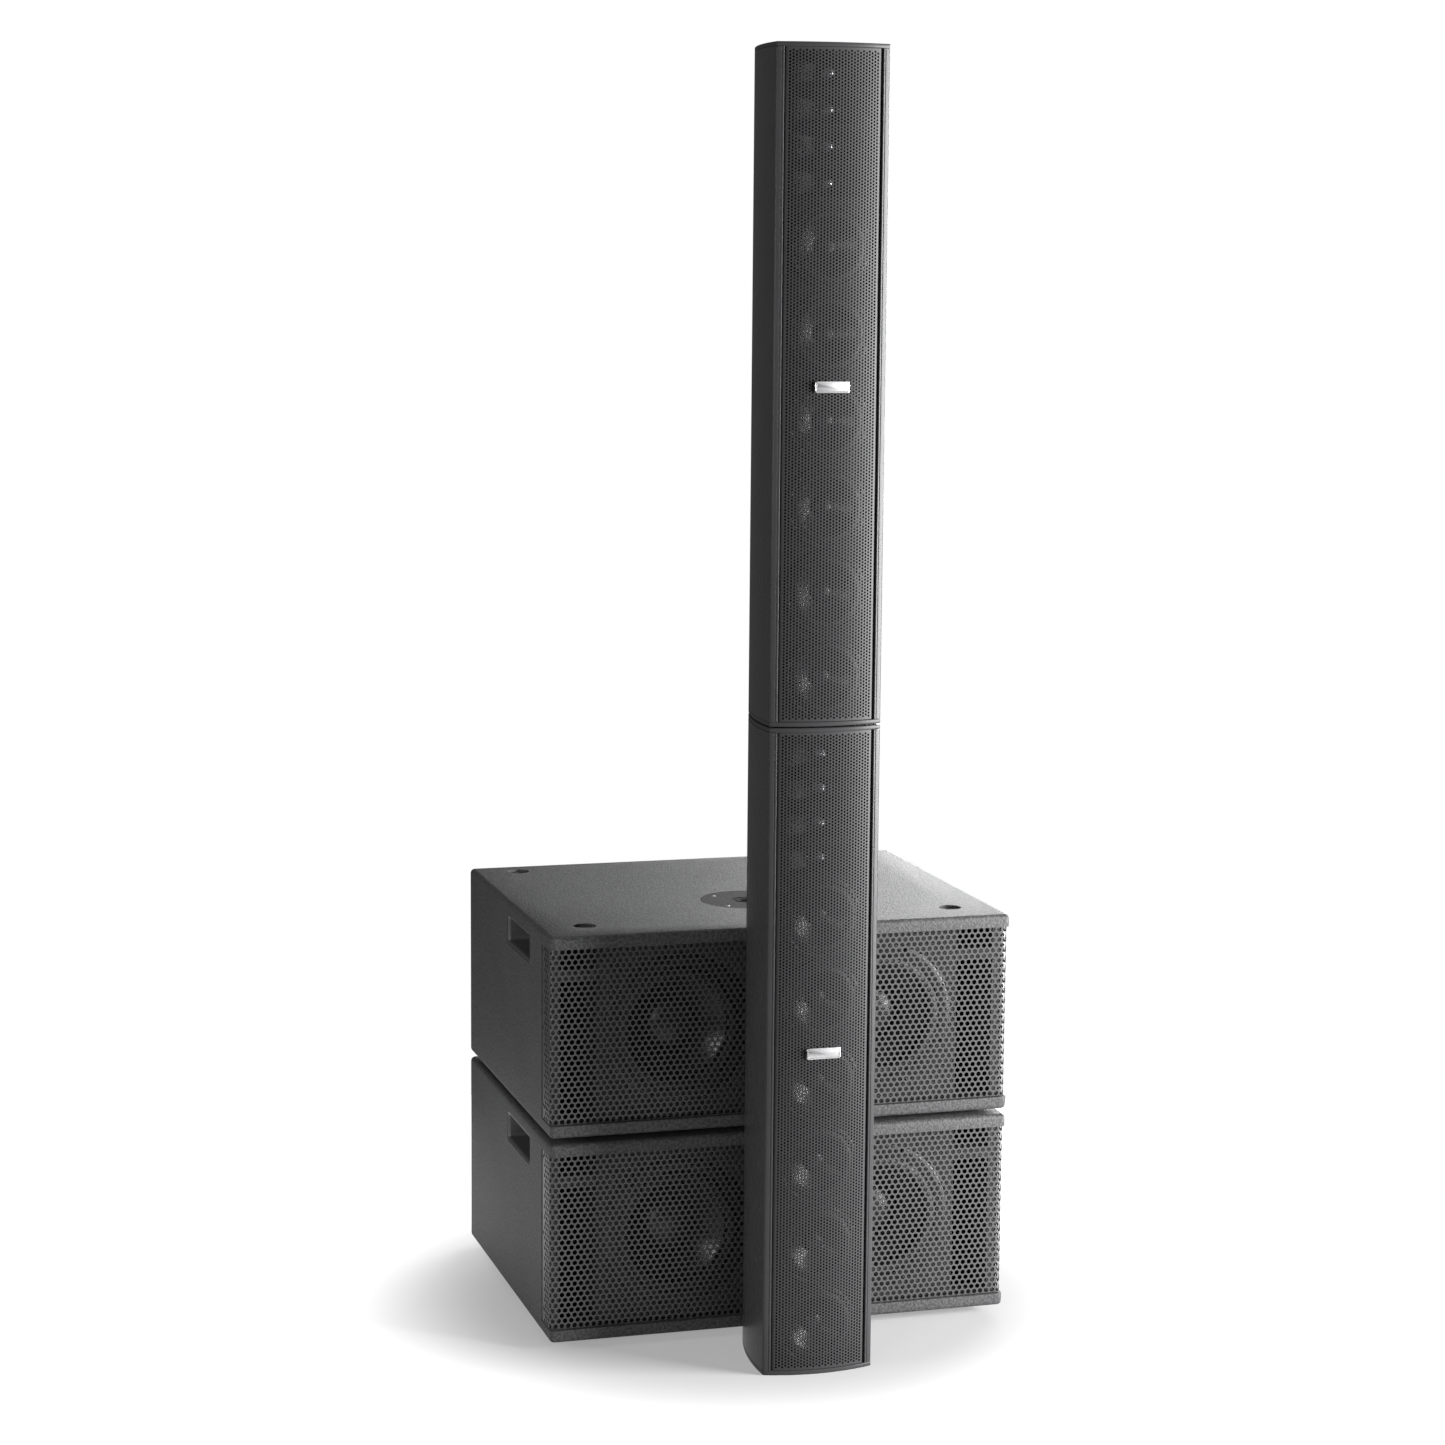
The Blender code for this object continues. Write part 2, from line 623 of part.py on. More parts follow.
def top_recesses():
    """Recesses for the feet of a second cabinet, and the stepped hole of the pole plate."""
    data = bmesh.new()
    above = SUB_HEIGHT + PLY
    for spot in FOOT_SPOTS:
        disc(data, spot, FOOT_RADIUS + 0.002, (SUB_HEIGHT - FOOT_RECESS, above), "Z", 12)
    hub = POLE_HUB_RADIUS + GAP
    rim = POLE_PLATE_RADIUS + GAP
    step = SUB_HEIGHT - POLE_PLATE_STEEL - GAP
    below = SUB_HEIGHT - PLY - WALL
    profile = ((0, below), (hub, below), (hub, step), (rim, step), (rim, above), (0, above))
    turned(data, profile, 20, (0, POLE_PLATE_Y, 0), "Z")
    return data


def port_bars():
    data = bmesh.new()
    for side in (-1, 1):
        spread = sorted((side * (PORT_X - WALL), side * (SIDE_BOARD_X + WALL)))
        block(data, spread, (SUB_BAFFLE_Y[0] + GAP, SUB_BAFFLE_Y[1] - GAP), PORT_BAR_Z)
    return data


def feet(foot_length):
    data = bmesh.new()
    for spot in FOOT_SPOTS:
        disc(data, spot, FOOT_RADIUS, (-foot_length, WALL), "Z", 12)
    return data


def sub_cabinet(name, cabinet, foot_length):
    """Glued plywood box with its front board, port walls, port bars and feet."""
    data = bmesh.new()
    block(data, (-SUB_HALF, SUB_HALF), (0, SUB_DEPTH), (0, SUB_HEIGHT))
    box = add(name, mesh_of(name, data, "textured_paint"), cabinet)
    rounding = box.modifiers.new("Rounding", "BEVEL")
    rounding.width = ROUND_OVER
    rounding.segments = 2
    for cutter in (grille_recess, cabinet_room, driver_holes, side_and_rear_holes, top_recesses):
        boolean(box, "DIFFERENCE", cutter())
    boolean(box, "UNION", port_bars())
    boolean(box, "UNION", feet(foot_length))


def sub_grille(name, cabinet):
    """Perforated sheet that covers the front and folds round both sides. The perforation isn't cut."""
    outside = SUB_HALF - FLANGE_INSET
    corner = (outside - SUB_GRILLE_BEND, SUB_GRILLE_Y + SUB_GRILLE_BEND)

    def section(inset):
        bend = arc(corner, SUB_GRILLE_BEND - inset, -math.pi / 2, 0, 3)
        return [*bend, (outside - inset, FLANGE_END_Y)]

    front, back = section(0), section(SUB_GRILLE_STEEL)
    outline = front + back[::-1] + [(-x, y) for x, y in back] + mirrored(front)
    data = bmesh.new()
    prism(data, outline, BETWEEN_Z, "Z")
    add(name, mesh_of(name, data, "powder_coat"), cabinet)


def sub_woofers(prefix, cabinet):
    """Two frames with their magnets, let into the front board, and the cone that each carries."""
    basket, cone = bmesh.new(), bmesh.new()
    turned(basket, SUB_BASKET, SUB_DRIVER_STEPS)
    turned(cone, SUB_CONE, SUB_DRIVER_STEPS)
    basket_mesh = mesh_of(f"{prefix}_basket", basket, "cast_basket")
    cone_mesh = mesh_of(f"{prefix}_cone", cone, "cone_paper")
    for side, x in (("left", -SUB_WOOFER_X), ("right", SUB_WOOFER_X)):
        centre = (x, 0, SUB_HEIGHT / 2)
        add(f"{prefix}_{side}_basket", basket_mesh, cabinet, centre)
        add(f"{prefix}_{side}_cone", cone_mesh, cabinet, centre)


def handle_cups(prefix, cabinet):
    """A moulded cup in each side board, open outwards for the hand."""

    def ring(x, grow):
        low_y, high_y = HANDLE_Y[0] - grow, HANDLE_Y[1] + grow
        low_z, high_z = HANDLE_Z[0] - grow, HANDLE_Z[1] + grow
        return [(x, low_y, low_z), (x, high_y, low_z), (x, high_y, high_z), (x, low_y, high_z)]

    outside = SUB_HALF - GAP
    inside = SUB_HALF - HANDLE_DEPTH
    for label, side in (("left", -1), ("right", 1)):
        data = bmesh.new()
        rings = [
            ring(side * inside, 0),
            ring(side * outside, 0),
            ring(side * outside, CUP_WALL),
            ring(side * (inside - CUP_WALL), CUP_WALL),
        ]
        loft(data, rings)
        name = f"{prefix}_{label}_handle_cup"
        add(name, mesh_of(name, data, "moulded_plastic"), cabinet)


def sub_pole_plate(name, cabinet):
    """Round steel plate with a hub, whose M20 thread for a pole is a plain blind hole here."""
    top = SUB_HEIGHT - GAP
    plate = SUB_HEIGHT - POLE_PLATE_STEEL
    floor = top - POLE_HOLE_DEPTH
    end = floor - 0.004
    profile = (
        (0, floor), (POLE_HOLE_RADIUS, floor), (POLE_HOLE_RADIUS, top), (POLE_PLATE_RADIUS, top),
        (POLE_PLATE_RADIUS, plate), (POLE_HUB_RADIUS, plate), (POLE_HUB_RADIUS, end), (0, end),
    )  # fmt: skip
    data = bmesh.new()
    turned(data, profile, 20, (0, POLE_PLATE_Y, 0), "Z")
    add(name, mesh_of(name, data, "black_steel"), cabinet)


def sub_amp_panel(name, cabinet):
    """Steel panel of the built-in amplifier, behind the rear window, with its power module inside."""
    data = bmesh.new()
    block(data, (-AMP_PANEL_HALF, AMP_PANEL_HALF), (AMP_FACE_Y - AMP_STEEL, AMP_FACE_Y), AMP_PANEL_Z)
    panel = add(name, mesh_of(name, data, "powder_coat"), cabinet)
    module = bmesh.new()
    block(module, (0.030, 0.115), (AMP_FACE_Y - 0.060, AMP_FACE_Y - AMP_STEEL / 2), (0.105, 0.230))
    boolean(panel, "UNION", module)
    boolean(panel, "DIFFERENCE", control_holes(SUB_SOCKETS, SUB_KNOB, SUB_SWITCH, AMP_FACE_Y))


def subwoofer(prefix, height, foot_length):
    cabinet = place_at(f"{prefix}_place", (0, SUB_FRONT_Y, height))
    sub_cabinet(f"{prefix}_cabinet", cabinet, foot_length)
    sub_grille(f"{prefix}_grille", cabinet)
    sub_woofers(prefix, cabinet)
    handle_cups(prefix, cabinet)
    sub_pole_plate(f"{prefix}_pole_plate", cabinet)
    sub_amp_panel(f"{prefix}_amp_panel", cabinet)
    socket_board(f"{prefix}_socket_board", cabinet, SUB_SOCKETS, AMP_FACE_Y)
    level_knob(f"{prefix}_level_knob", cabinet, SUB_KNOB, AMP_FACE_Y)
    power_switch(f"{prefix}_power_switch", cabinet, SUB_SWITCH, AMP_FACE_Y)


def main():
    clear_scene()
    lower = column_unit("lower_column", 0, "top")
    column_unit("upper_column", UPPER_UNIT_Z, "bottom")
    coupling_pins("coupling", lower)
    subwoofer("lower_sub", LOWER_SUB_Z, FOOT_HEIGHT)
    subwoofer("upper_sub", UPPER_SUB_Z, FOOT_HEIGHT - GAP)
    bpy.context.view_layer.update()


main()
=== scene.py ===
"""Looks of the column PA system: a column of two stacked units, in front of two stacked subwoofers.

Metres, +Z up, front towards -Y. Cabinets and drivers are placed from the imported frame. Inside a cabinet,
x runs from its middle, y back from its front and z up from its base. Outlines of small parts are written in
millimetres, which mm() turns into metres.
"""

import math

import bmesh
import bpy
import numpy as np
from mathutils import Matrix, Vector

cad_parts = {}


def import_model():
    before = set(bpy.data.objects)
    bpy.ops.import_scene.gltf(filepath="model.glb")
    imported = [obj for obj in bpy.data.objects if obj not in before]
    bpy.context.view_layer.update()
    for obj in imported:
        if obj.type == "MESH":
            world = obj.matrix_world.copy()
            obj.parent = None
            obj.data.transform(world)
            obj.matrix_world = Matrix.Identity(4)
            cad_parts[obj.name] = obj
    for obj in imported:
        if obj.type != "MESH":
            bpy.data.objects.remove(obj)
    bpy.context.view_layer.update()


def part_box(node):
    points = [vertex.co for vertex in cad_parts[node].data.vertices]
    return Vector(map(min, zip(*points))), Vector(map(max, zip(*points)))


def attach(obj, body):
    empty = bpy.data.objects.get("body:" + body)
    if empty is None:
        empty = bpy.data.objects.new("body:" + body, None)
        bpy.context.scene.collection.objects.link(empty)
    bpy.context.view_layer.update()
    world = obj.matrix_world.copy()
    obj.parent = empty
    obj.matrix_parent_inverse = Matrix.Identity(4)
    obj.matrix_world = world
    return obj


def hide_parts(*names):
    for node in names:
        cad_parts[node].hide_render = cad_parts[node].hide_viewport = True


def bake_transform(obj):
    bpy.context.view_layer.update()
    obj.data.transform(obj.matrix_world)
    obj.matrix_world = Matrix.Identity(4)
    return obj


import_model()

GAP = 0.0003  # left between pieces that touch
TURN = 2 * math.pi
SIDES = (-1, 1)

# Column unit
COLUMN_WIDTH = 0.156
COLUMN_DEPTH = 0.165
FRONT_BOW = 0.010
UNIT_HEIGHT = 0.899
CAP = 0.006
WALL = 0.003
OPENING_HALF = 0.068
RAIL_DEPTH = 0.022
RAIL_GROOVE = (0.0706, 0.0716)
GROOVE_DEPTH = 0.0006
SIDE_RADIUS = 0.417
SIDE_CENTRE_Y = 0.035
BACK_CORNER = 0.018
CAP_COUNTERBORE = (0.0036, 0.0028)
CAP_SCREW_SINK = 0.0027
CAP_SCREW_SPOTS = ((-0.0730, 0.0120), (0.0730, 0.0120), (-0.0568, 0.1534), (0.0568, 0.1534))
PIN_SPOT = (0.040, 0.095)
PIN_RADIUS = 0.006
COLUMN_BAFFLE_Y = (0.012, 0.020)
WOOFER_OPENING = 0.0540
WOOFER_SCREW_RING = 0.0537
TWEETER_COUNT = 4
TWEETER_OPENING = (0.0562, 0.0202)
TWEETER_HALF = (0.0630, 0.0232)
HORN_MOUTH = (0.0520, 0.0185)
HORN_THROAT = 0.0125
HORN_Y = (0.0085, 0.0117, 0.0360)
COLUMN_GRILLE_SETBACK = 0.0025
COLUMN_GRILLE_STEEL = 0.0012
COLUMN_GRILLE_HALF = 0.0668
COLUMN_GRILLE_BEND = 0.0045
COLUMN_GRILLE_END_Y = 0.0085
COLUMN_HOLES = dict(along=0.00429, across=0.00436, radius=0.00165, sides=6)
REAR_PANEL_HALF = 0.041
REAR_PANEL_Z = (0.060, 0.868)
FINS_TOP = 0.590
FIN_COUNT = 9
FIN_WIDTH = 0.002
FIN_DEPTH = 0.011
BADGE_Z = 0.452
BADGE_HALF = (0.024, 0.00775)

# Subwoofer
SUB_WIDTH = 0.676
SUB_HALF = SUB_WIDTH / 2
SUB_DEPTH = 0.534
SUB_HEIGHT = 0.286
PLY = 0.018
ROUND_OVER = 0.0065
SUB_BAFFLE_Y = (0.022, 0.040)
SUB_FRAME_RADIUS = 0.107
SUB_FRAME_REBATE = 0.003
SUB_WOOFER_HOLE = 0.0935
FRAME_SCREW_RING = 0.1025
PORT_WIDTH = 0.054
PORT_END_Y = 0.300
PORT_BOARD = 0.008
PORT_BAR_Z = (0.219, 0.234)
SUB_GRILLE_Y = 0.007
SUB_GRILLE_STEEL = 0.0015
SUB_GRILLE_BEND = 0.006
FLANGE_INSET = 0.001
FLANGE_END_Y = 0.054
SIDE_REBATE = 0.003
SUB_HOLES = dict(along=0.0092, across=0.00753, radius=0.0034, sides=12)
GRILLE_SCREW_Y = 0.047
GRILLE_SCREW_Z = (0.038, 0.148, 0.258)
HANDLE_Y = (0.130, 0.270)
HANDLE_Z = (0.2255, 0.2640)
HANDLE_DEPTH = 0.050
CUP_WALL = 0.0025
FOOT_RADIUS = 0.014
FOOT_HOLLOW = 0.0030
FOOT_RECESS = 0.004
FOOT_SPOTS = ((-0.272, 0.070), (0.272, 0.070), (-0.272, 0.490), (0.272, 0.490))
POLE_PLATE_Y = 0.197
POLE_PLATE_RADIUS = 0.065
POLE_PLATE_STEEL = 0.003
POLE_SCREW_RING = 0.052
POLE_HUB_RADIUS = 0.0185
POLE_HOLE_RADIUS = 0.010
POLE_HOLE_DEPTH = 0.034
THREAD_TURNS = 13
THREAD_PITCH = 0.0022
AMP_PANEL_HALF = 0.125
AMP_PANEL_Z = (0.035, 0.251)
AMP_WINDOW_MARGIN = 0.010
AMP_STEEL = 0.003
AMP_FACE_Y = SUB_DEPTH - PLY - GAP
POWER_MODULE = ((0.030, 0.115), (0.105, 0.230))

# Controls, as (x, z) on a rear panel, and the kind of each socket
SOCKET_KINDS = ("outlet", "inlet", "mains", "mains")
COLUMN_CONTROLS = dict(
    sockets=((-0.019, 0.842), (0.019, 0.842), (-0.019, 0.705), (0.019, 0.705)),
    knob=(0.0, 0.797),
    switch=(0.0, 0.652),
    lamps=((-0.014, 0.762), (0.0, 0.762), (0.014, 0.762)),
)
SUB_CONTROLS = dict(
    sockets=((-0.035, 0.190), (0.010, 0.190), (-0.035, 0.090), (0.010, 0.090)),
    knob=(-0.085, 0.190),
    switch=(0.075, 0.075),
    lamps=((-0.100, 0.150), (-0.085, 0.150), (-0.070, 0.150)),
)
SOCKET_HOLE = 0.0124
SHAFT_HOLE = 0.0037
SWITCH_HOLE = (0.0070, 0.0110)
BOARD_DEPTH = 0.022
BOARD_MARGIN = 0.016
BOARD_THICKNESS = 0.0016
SOCKET_FLANGE = 0.0020
SOCKET_FLOOR = dict(inlet=11.0, outlet=1.2, mains=2.0)  # below the panel, in millimetres
EDGE = 0.0004  # rounding of a small part's edges

# Screws: head radius, head height and stub
CAP_SCREW = (0.0032, 0.0022, 0.0)
WOOFER_SCREW = (0.0022, 0.0011, 0.0030)
HORN_SCREW = (0.0020, 0.0010, 0.0028)
THROAT_BOLT = (0.0018, 0.0012, 0.0060)
PANEL_SCREW = (0.0024, 0.0012, 0.0028)
SOCKET_SCREW = (0.0016, 0.0007, 0.0035)
FOOT_SCREW = (0.0040, 0.0018, 0.0)
GRILLE_SCREW = (0.0026, 0.0009, 0.0015)
PLATE_SCREW = (0.0030, 0.0003, 0.0)
FRAME_SCREW = (0.0035, 0.0022, 0.0030)

# Camera: place, then heading to the right of +Y, dip below level and roll, in degrees
CAMERA_PLACE = (-1.370, -4.511, 1.5325)
CAMERA_TURN = (16.4, 8.17, 0.48)
CAMERA_LENS = 82.2

# Lights: a broad soft one from the front right and weaker ones on the left, behind and above, each with its
# place, the point it faces, its size and its radiance
LIGHTS = dict(
    front_right=((3.8, -2.4, 1.0), (0, 0, 0.8), (2.2, 2.4), 78),
    left=((-3.6, -0.6, 1.3), (0, 0, 0.8), (0.7, 1.6), 17),
    front_left=((-2.6, -3.3, 1.3), (0, 0, 0.8), (1.1, 1.0), 17),
    back_right=((2.4, 3.4, 1.5), (0, 0, 0.6), (2.2, 1.4), 20),
    overhead=((0.2, 0.8, 3.6), (0, 0.2, 0), (2.4, 2.4), 2),
)
FLOOR = (1.25, 96)  # radius, and number of sides


# Shapes


AXES = {
    "X": lambda along, a, b: (along, a, b),
    "Y": lambda along, a, b: (a, along, b),
    "Z": lambda along, a, b: (a, b, along),
}


def mm(*points):
    """Points given in millimetres, in metres."""
    return [tuple(value / 1000 for value in point) for point in points]


def parts_of_one(count):
    """Evenly spaced values from 0 to 1."""
    return [k / count for k in range(count + 1)]


def arc(centre, radius, start, end, steps):
    """Points on an arc between two angles, both ends included."""
    angles = [start + (end - start) * s for s in parts_of_one(steps)]
    return [(centre[0] + radius * math.cos(a), centre[1] + radius * math.sin(a)) for a in angles]


def circle(centre, radius, steps):
    return arc(centre, radius, 0, TURN, steps)[:-1]


def rectangle(a, b, radius=0.0, steps=3):
    """Corners of a rectangle between two values each way, rounded if a radius is given."""
    corners = [(a[0], b[0]), (a[1], b[0]), (a[1], b[1]), (a[0], b[1])]
    return softened(corners, radius, steps) if radius else corners


def oblong(half_a, half_b, radius=0.0, steps=3, centre=(0, 0)):
    """A rectangle round its centre."""
    a, b = centre
    return rectangle((a - half_a, a + half_a), (b - half_b, b + half_b), radius, steps)


def mirrored(points):
    return [(-x, y) for x, y in reversed(points)]


def both_sides(right):
    return right + mirrored(right)


def span(side, near, far):
    """The lower and higher of two distances, on the left for side -1 and on the right for side 1."""
    return tuple(sorted((side * near, side * far)))


def softened(outline, radius, steps=3, sharpest=0.45):
    """The closed outline with each sharp corner rounded."""
    points = [Vector(p) for p in outline]
    made = []
    for k, here in enumerate(points):
        inward = here - points[k - 1]
        onward = points[(k + 1) % len(points)] - here
        turn = abs(inward.angle(onward))
        if turn < sharpest:
            made.append(tuple(here))
            continue
        reach = min(radius * math.tan(turn / 2), 0.45 * inward.length, 0.45 * onward.length)
        first = here - inward.normalized() * reach
        last = here + onward.normalized() * reach
        for s in parts_of_one(steps):
            made.append(tuple(first * (1 - s) ** 2 + here * 2 * s * (1 - s) + last * s**2))
    return made


def inset(outline, distance):
    """The anticlockwise outline moved inwards."""
    points = [Vector(p) for p in outline]
    moved = []
    for k, here in enumerate(points):
        before = (here - points[k - 1]).normalized()
        after = (points[(k + 1) % len(points)] - here).normalized()
        sides = Vector((-before.y, before.x)), Vector((-after.y, after.x))
        moved.append(tuple(here + (sides[0] + sides[1]) * distance / (1 + sides[0].dot(sides[1]))))
    return moved


def area(outline):
    return sum(a[0] * b[1] - b[0] * a[1] for a, b in zip(outline, outline[1:] + outline[:1])) / 2


def loft(rings, data=None):
    """A bmesh with a closed solid through rings of equal length, with a face on the first and last."""
    data = bmesh.new() if data is None else data
    rows = [[data.verts.new(point) for point in ring] for ring in rings]
    for row, following in zip(rows, rows[1:]):
        for k in range(len(row)):
            data.faces.new([row[k - 1], row[k], following[k], following[k - 1]])
    data.faces.new(rows[0])
    data.faces.new(rows[-1])
    return data


def prism(outline, along, axis="Z", rounding=0.0, data=None):
    """A bmesh with an outline extruded along an axis, the edges of both ends rounded."""
    point = AXES[axis]
    low, high = along
    shape = outline[::-1] if area(outline) < 0 else outline
    levels = [(low, 0.0), (high, 0.0)]
    if rounding:
        angles = [math.pi / 2 * s for s in parts_of_one(3)]
        bend = [(rounding * (1 - math.cos(a)), rounding * (1 - math.sin(a))) for a in angles]
        levels = [(low + rise, drawn) for rise, drawn in bend]
        levels += [(high - rise, drawn) for rise, drawn in reversed(bend)]
    rings = []
    for level, drawn in levels:
        rings.append([point(level, a, b) for a, b in (inset(shape, drawn) if drawn else shape)])
    return loft(rings, data)


def turned(profile, steps, centre=(0, 0, 0), axis="Y", knurl=0.0, data=None):
    """A bmesh with a profile of (radius, along) points spun round an axis. The profile starts and ends on
    it, or is a closed loop round it."""
    data = bmesh.new() if data is None else data
    point = AXES[axis]
    spot = Vector(centre)
    rows = []
    for radius, along in profile:
        if radius == 0:
            rows.append([data.verts.new(spot + Vector(point(along, 0, 0)))])
            continue
        ring = []
        for k in range(steps):
            angle = TURN * k / steps
            wide = radius + (knurl if k % 2 and radius > 0.007 else 0.0)
            on_ring = point(along, wide * math.cos(angle), wide * math.sin(angle))
            ring.append(data.verts.new(spot + Vector(on_ring)))
        rows.append(ring)
    pairs = list(zip(rows, rows[1:]))
    if profile[0][0] != 0:
        pairs.append((rows[-1], rows[0]))
    for row, following in pairs:
        for k in range(steps):
            corners = [row[k - 1], row[k]] if len(row) > 1 else [row[0]]
            corners += [following[k], following[k - 1]] if len(following) > 1 else [following[0]]
            data.faces.new(corners)
    return data


def superellipse(half_x, half_z, power, y, steps=48):
    """A ring facing Y, from an ellipse at power 2 towards a rectangle at high powers."""
    ring = []
    for k in range(steps):
        c, s = math.cos(TURN * k / steps), math.sin(TURN * k / steps)
        x = half_x * math.copysign(abs(c) ** (2 / power), c)
        z = half_z * math.copysign(abs(s) ** (2 / power), s)
        ring.append((x, y, z))
    return ring


def mesh_of(name, data, sharp=35):
    """Turns a bmesh of closed shapes into a mesh with its faces pointing out and its sharp edges kept."""
    bmesh.ops.recalc_face_normals(data, faces=data.faces)
    mesh = bpy.data.meshes.new(name)
    data.to_mesh(mesh)
    data.free()
    shade(mesh, sharp)
    return mesh


def shade(mesh, sharp=35):
    mesh.shade_smooth()
    mesh.set_sharp_from_angle(angle=math.radians(sharp))


def carved(name, base, cuts=(), joins=()):
    """The mesh of a bmesh with others cut from it and joined to it."""
    obj = bpy.data.objects.new(name, mesh_of(name, base))
    bpy.context.scene.collection.objects.link(obj)
    tools = []
    for operation, solids in (("DIFFERENCE", cuts), ("UNION", joins)):
        for solid in solids:
            tool = bpy.data.objects.new("tool", mesh_of("tool", solid))
            bpy.context.scene.collection.objects.link(tool)
            modifier = obj.modifiers.new("cut", "BOOLEAN")
            modifier.operation = operation
            modifier.object = tool
            tools.append(tool)
    bpy.context.view_layer.update()
    made = bpy.data.meshes.new_from_object(obj.evaluated_get(bpy.context.evaluated_depsgraph_get()))
    for extra in [obj, *tools]:
        bpy.data.objects.remove(extra)
    shade(made)
    return made


def recut(mesh, cuts):
    """The mesh with more bmeshes cut from it."""
    data = bmesh.new()
    data.from_mesh(mesh)
    name = mesh.name
    bpy.data.meshes.remove(mesh)
    return carved(name, data, cuts)


def group_of(name, mesh, matrices):
    """One mesh of several copies of another."""
    data = bmesh.new()
    for matrix in matrices:
        count = len(data.verts)
        data.from_mesh(mesh)
        data.verts.ensure_lookup_table()
        bmesh.ops.transform(data, matrix=matrix, verts=data.verts[count:])
    return mesh_of(name, data)


# Perforated sheet


def perforation(length, width, along, across, radius, sides, ends=(0.0, 0.0)):
    """Flat polygons of a staggered perforated field, centred on the origin, with plain strips round it.

    Each hole lies in a brick-shaped cell, whose six corners meet those of the shifted rows beside it.
    """
    columns = int((length - 2 * ends[0]) / along - 0.5)
    rows = int((width - 2 * ends[1]) / across)
    per_corner = sides // 6
    corners = [(0.5, -0.5), (0.5, 0.5), (0, 0.5), (-0.5, 0.5), (-0.5, -0.5), (0, -0.5)]
    corners = np.array(corners) * (along, across)
    angles = np.radians(-30) + TURN * np.arange(sides) / sides
    rim = radius * np.stack([np.cos(angles), np.sin(angles)], 1)
    cell = []
    for k in range(6):
        inner = [rim[(per_corner * k + j) % sides] for j in range(per_corner + 1)]
        cell.append([corners[k], corners[(k + 1) % 6], *inner[::-1]])
    cell = np.array(cell)
    left = -(columns + 0.5) * along / 2
    bottom = -rows * across / 2
    centres = [
        (left + along * (column + 0.5 + 0.5 * (row % 2)), bottom + across * (row + 0.5))
        for row in range(rows)
        for column in range(columns)
    ]
    field = (np.array(centres)[:, None, None, :] + cell[None]).reshape(-1, cell.shape[1], 2)
    heights = [(bottom + across * row, bottom + across * (row + 1)) for row in range(rows)]
    shorts = ((-left - along / 2, -left), (left, left + along / 2))
    plain = [rectangle(shorts[row % 2], z) for row, z in enumerate(heights)]
    knots = [left + along / 2 * k for k in range(2 * columns + 2)]
    for side in SIDES:
        plain += [rectangle(span(side, -left, length / 2), z) for z in heights]
        edge = span(side, -bottom, width / 2)
        plain += [rectangle(ab, edge) for ab in zip([-length / 2, *knots], [*knots, length / 2])]
    return field, np.array(plain)


def sheet_mesh(name, polygons, place, thickness):
    """A closed sheet of anticlockwise flat polygons. place(points, depth) says where flat points lie."""
    flat = np.concatenate([p.reshape(-1, 2) for p in polygons])
    points, index = np.unique(np.round(flat, 6), axis=0, return_inverse=True)
    index = index.reshape(-1)
    faces = []
    start = 0
    for group in polygons:
        count = group.shape[0] * group.shape[1]
        faces.append(index[start : start + count].reshape(group.shape[:2]))
        start += count
    edges = np.concatenate([np.stack([f, np.roll(f, -1, 1)], 2).reshape(-1, 2) for f in faces])
    _, first, uses = np.unique(np.sort(edges, 1), axis=0, return_index=True, return_counts=True)
    tail, head = edges[first[uses == 1]].T
    total = len(points)
    solid = []
    for f in faces:
        solid += f.tolist()
        solid += (f[:, ::-1] + total).tolist()
    solid += np.stack([head, tail, tail + total, head + total], 1).tolist()
    mesh = bpy.data.meshes.new(name)
    mesh.from_pydata(np.concatenate([place(points, 0.0), place(points, thickness)]).tolist(), [], solid)
    shade(mesh, 40)
    return mesh


def split_strips(plain, cuts):
    """Splits the plain strips that cross given places along the length, so that they can bend there."""
    made = list(plain)
    for cut in cuts:
        following = []
        for quad in made:
            low, high = quad[:, 0].min(), quad[:, 0].max()
            if not low + 1e-5 < cut < high - 1e-5:
                following.append(quad)
                continue
            left, right = quad.copy(), quad.copy()
            left[quad[:, 0] == high, 0] = cut
            right[quad[:, 0] == low, 0] = cut
            following += [left, right]
        made = following
    return np.array(made)


# Materials


def set_inputs(node, **values):
    """Sets inputs of a shader node, with underscores for the spaces in their names."""
    for name, value in values.items():
        node.inputs[name.replace("_", " ").title().replace("Ior", "IOR")].default_value = value
    return node


def new_node(tree, kind, **values):
    return set_inputs(tree.nodes.new(f"ShaderNode{kind}"), **values)


def connect(tree, *wires):
    """Links nodes: each wire has a node and its output, then a node and its input."""
    for source, output, target, entry in wires:
        tree.links.new(source.outputs[output], target.inputs[entry])


def grey(level, blue):
    return (level, level, blue)


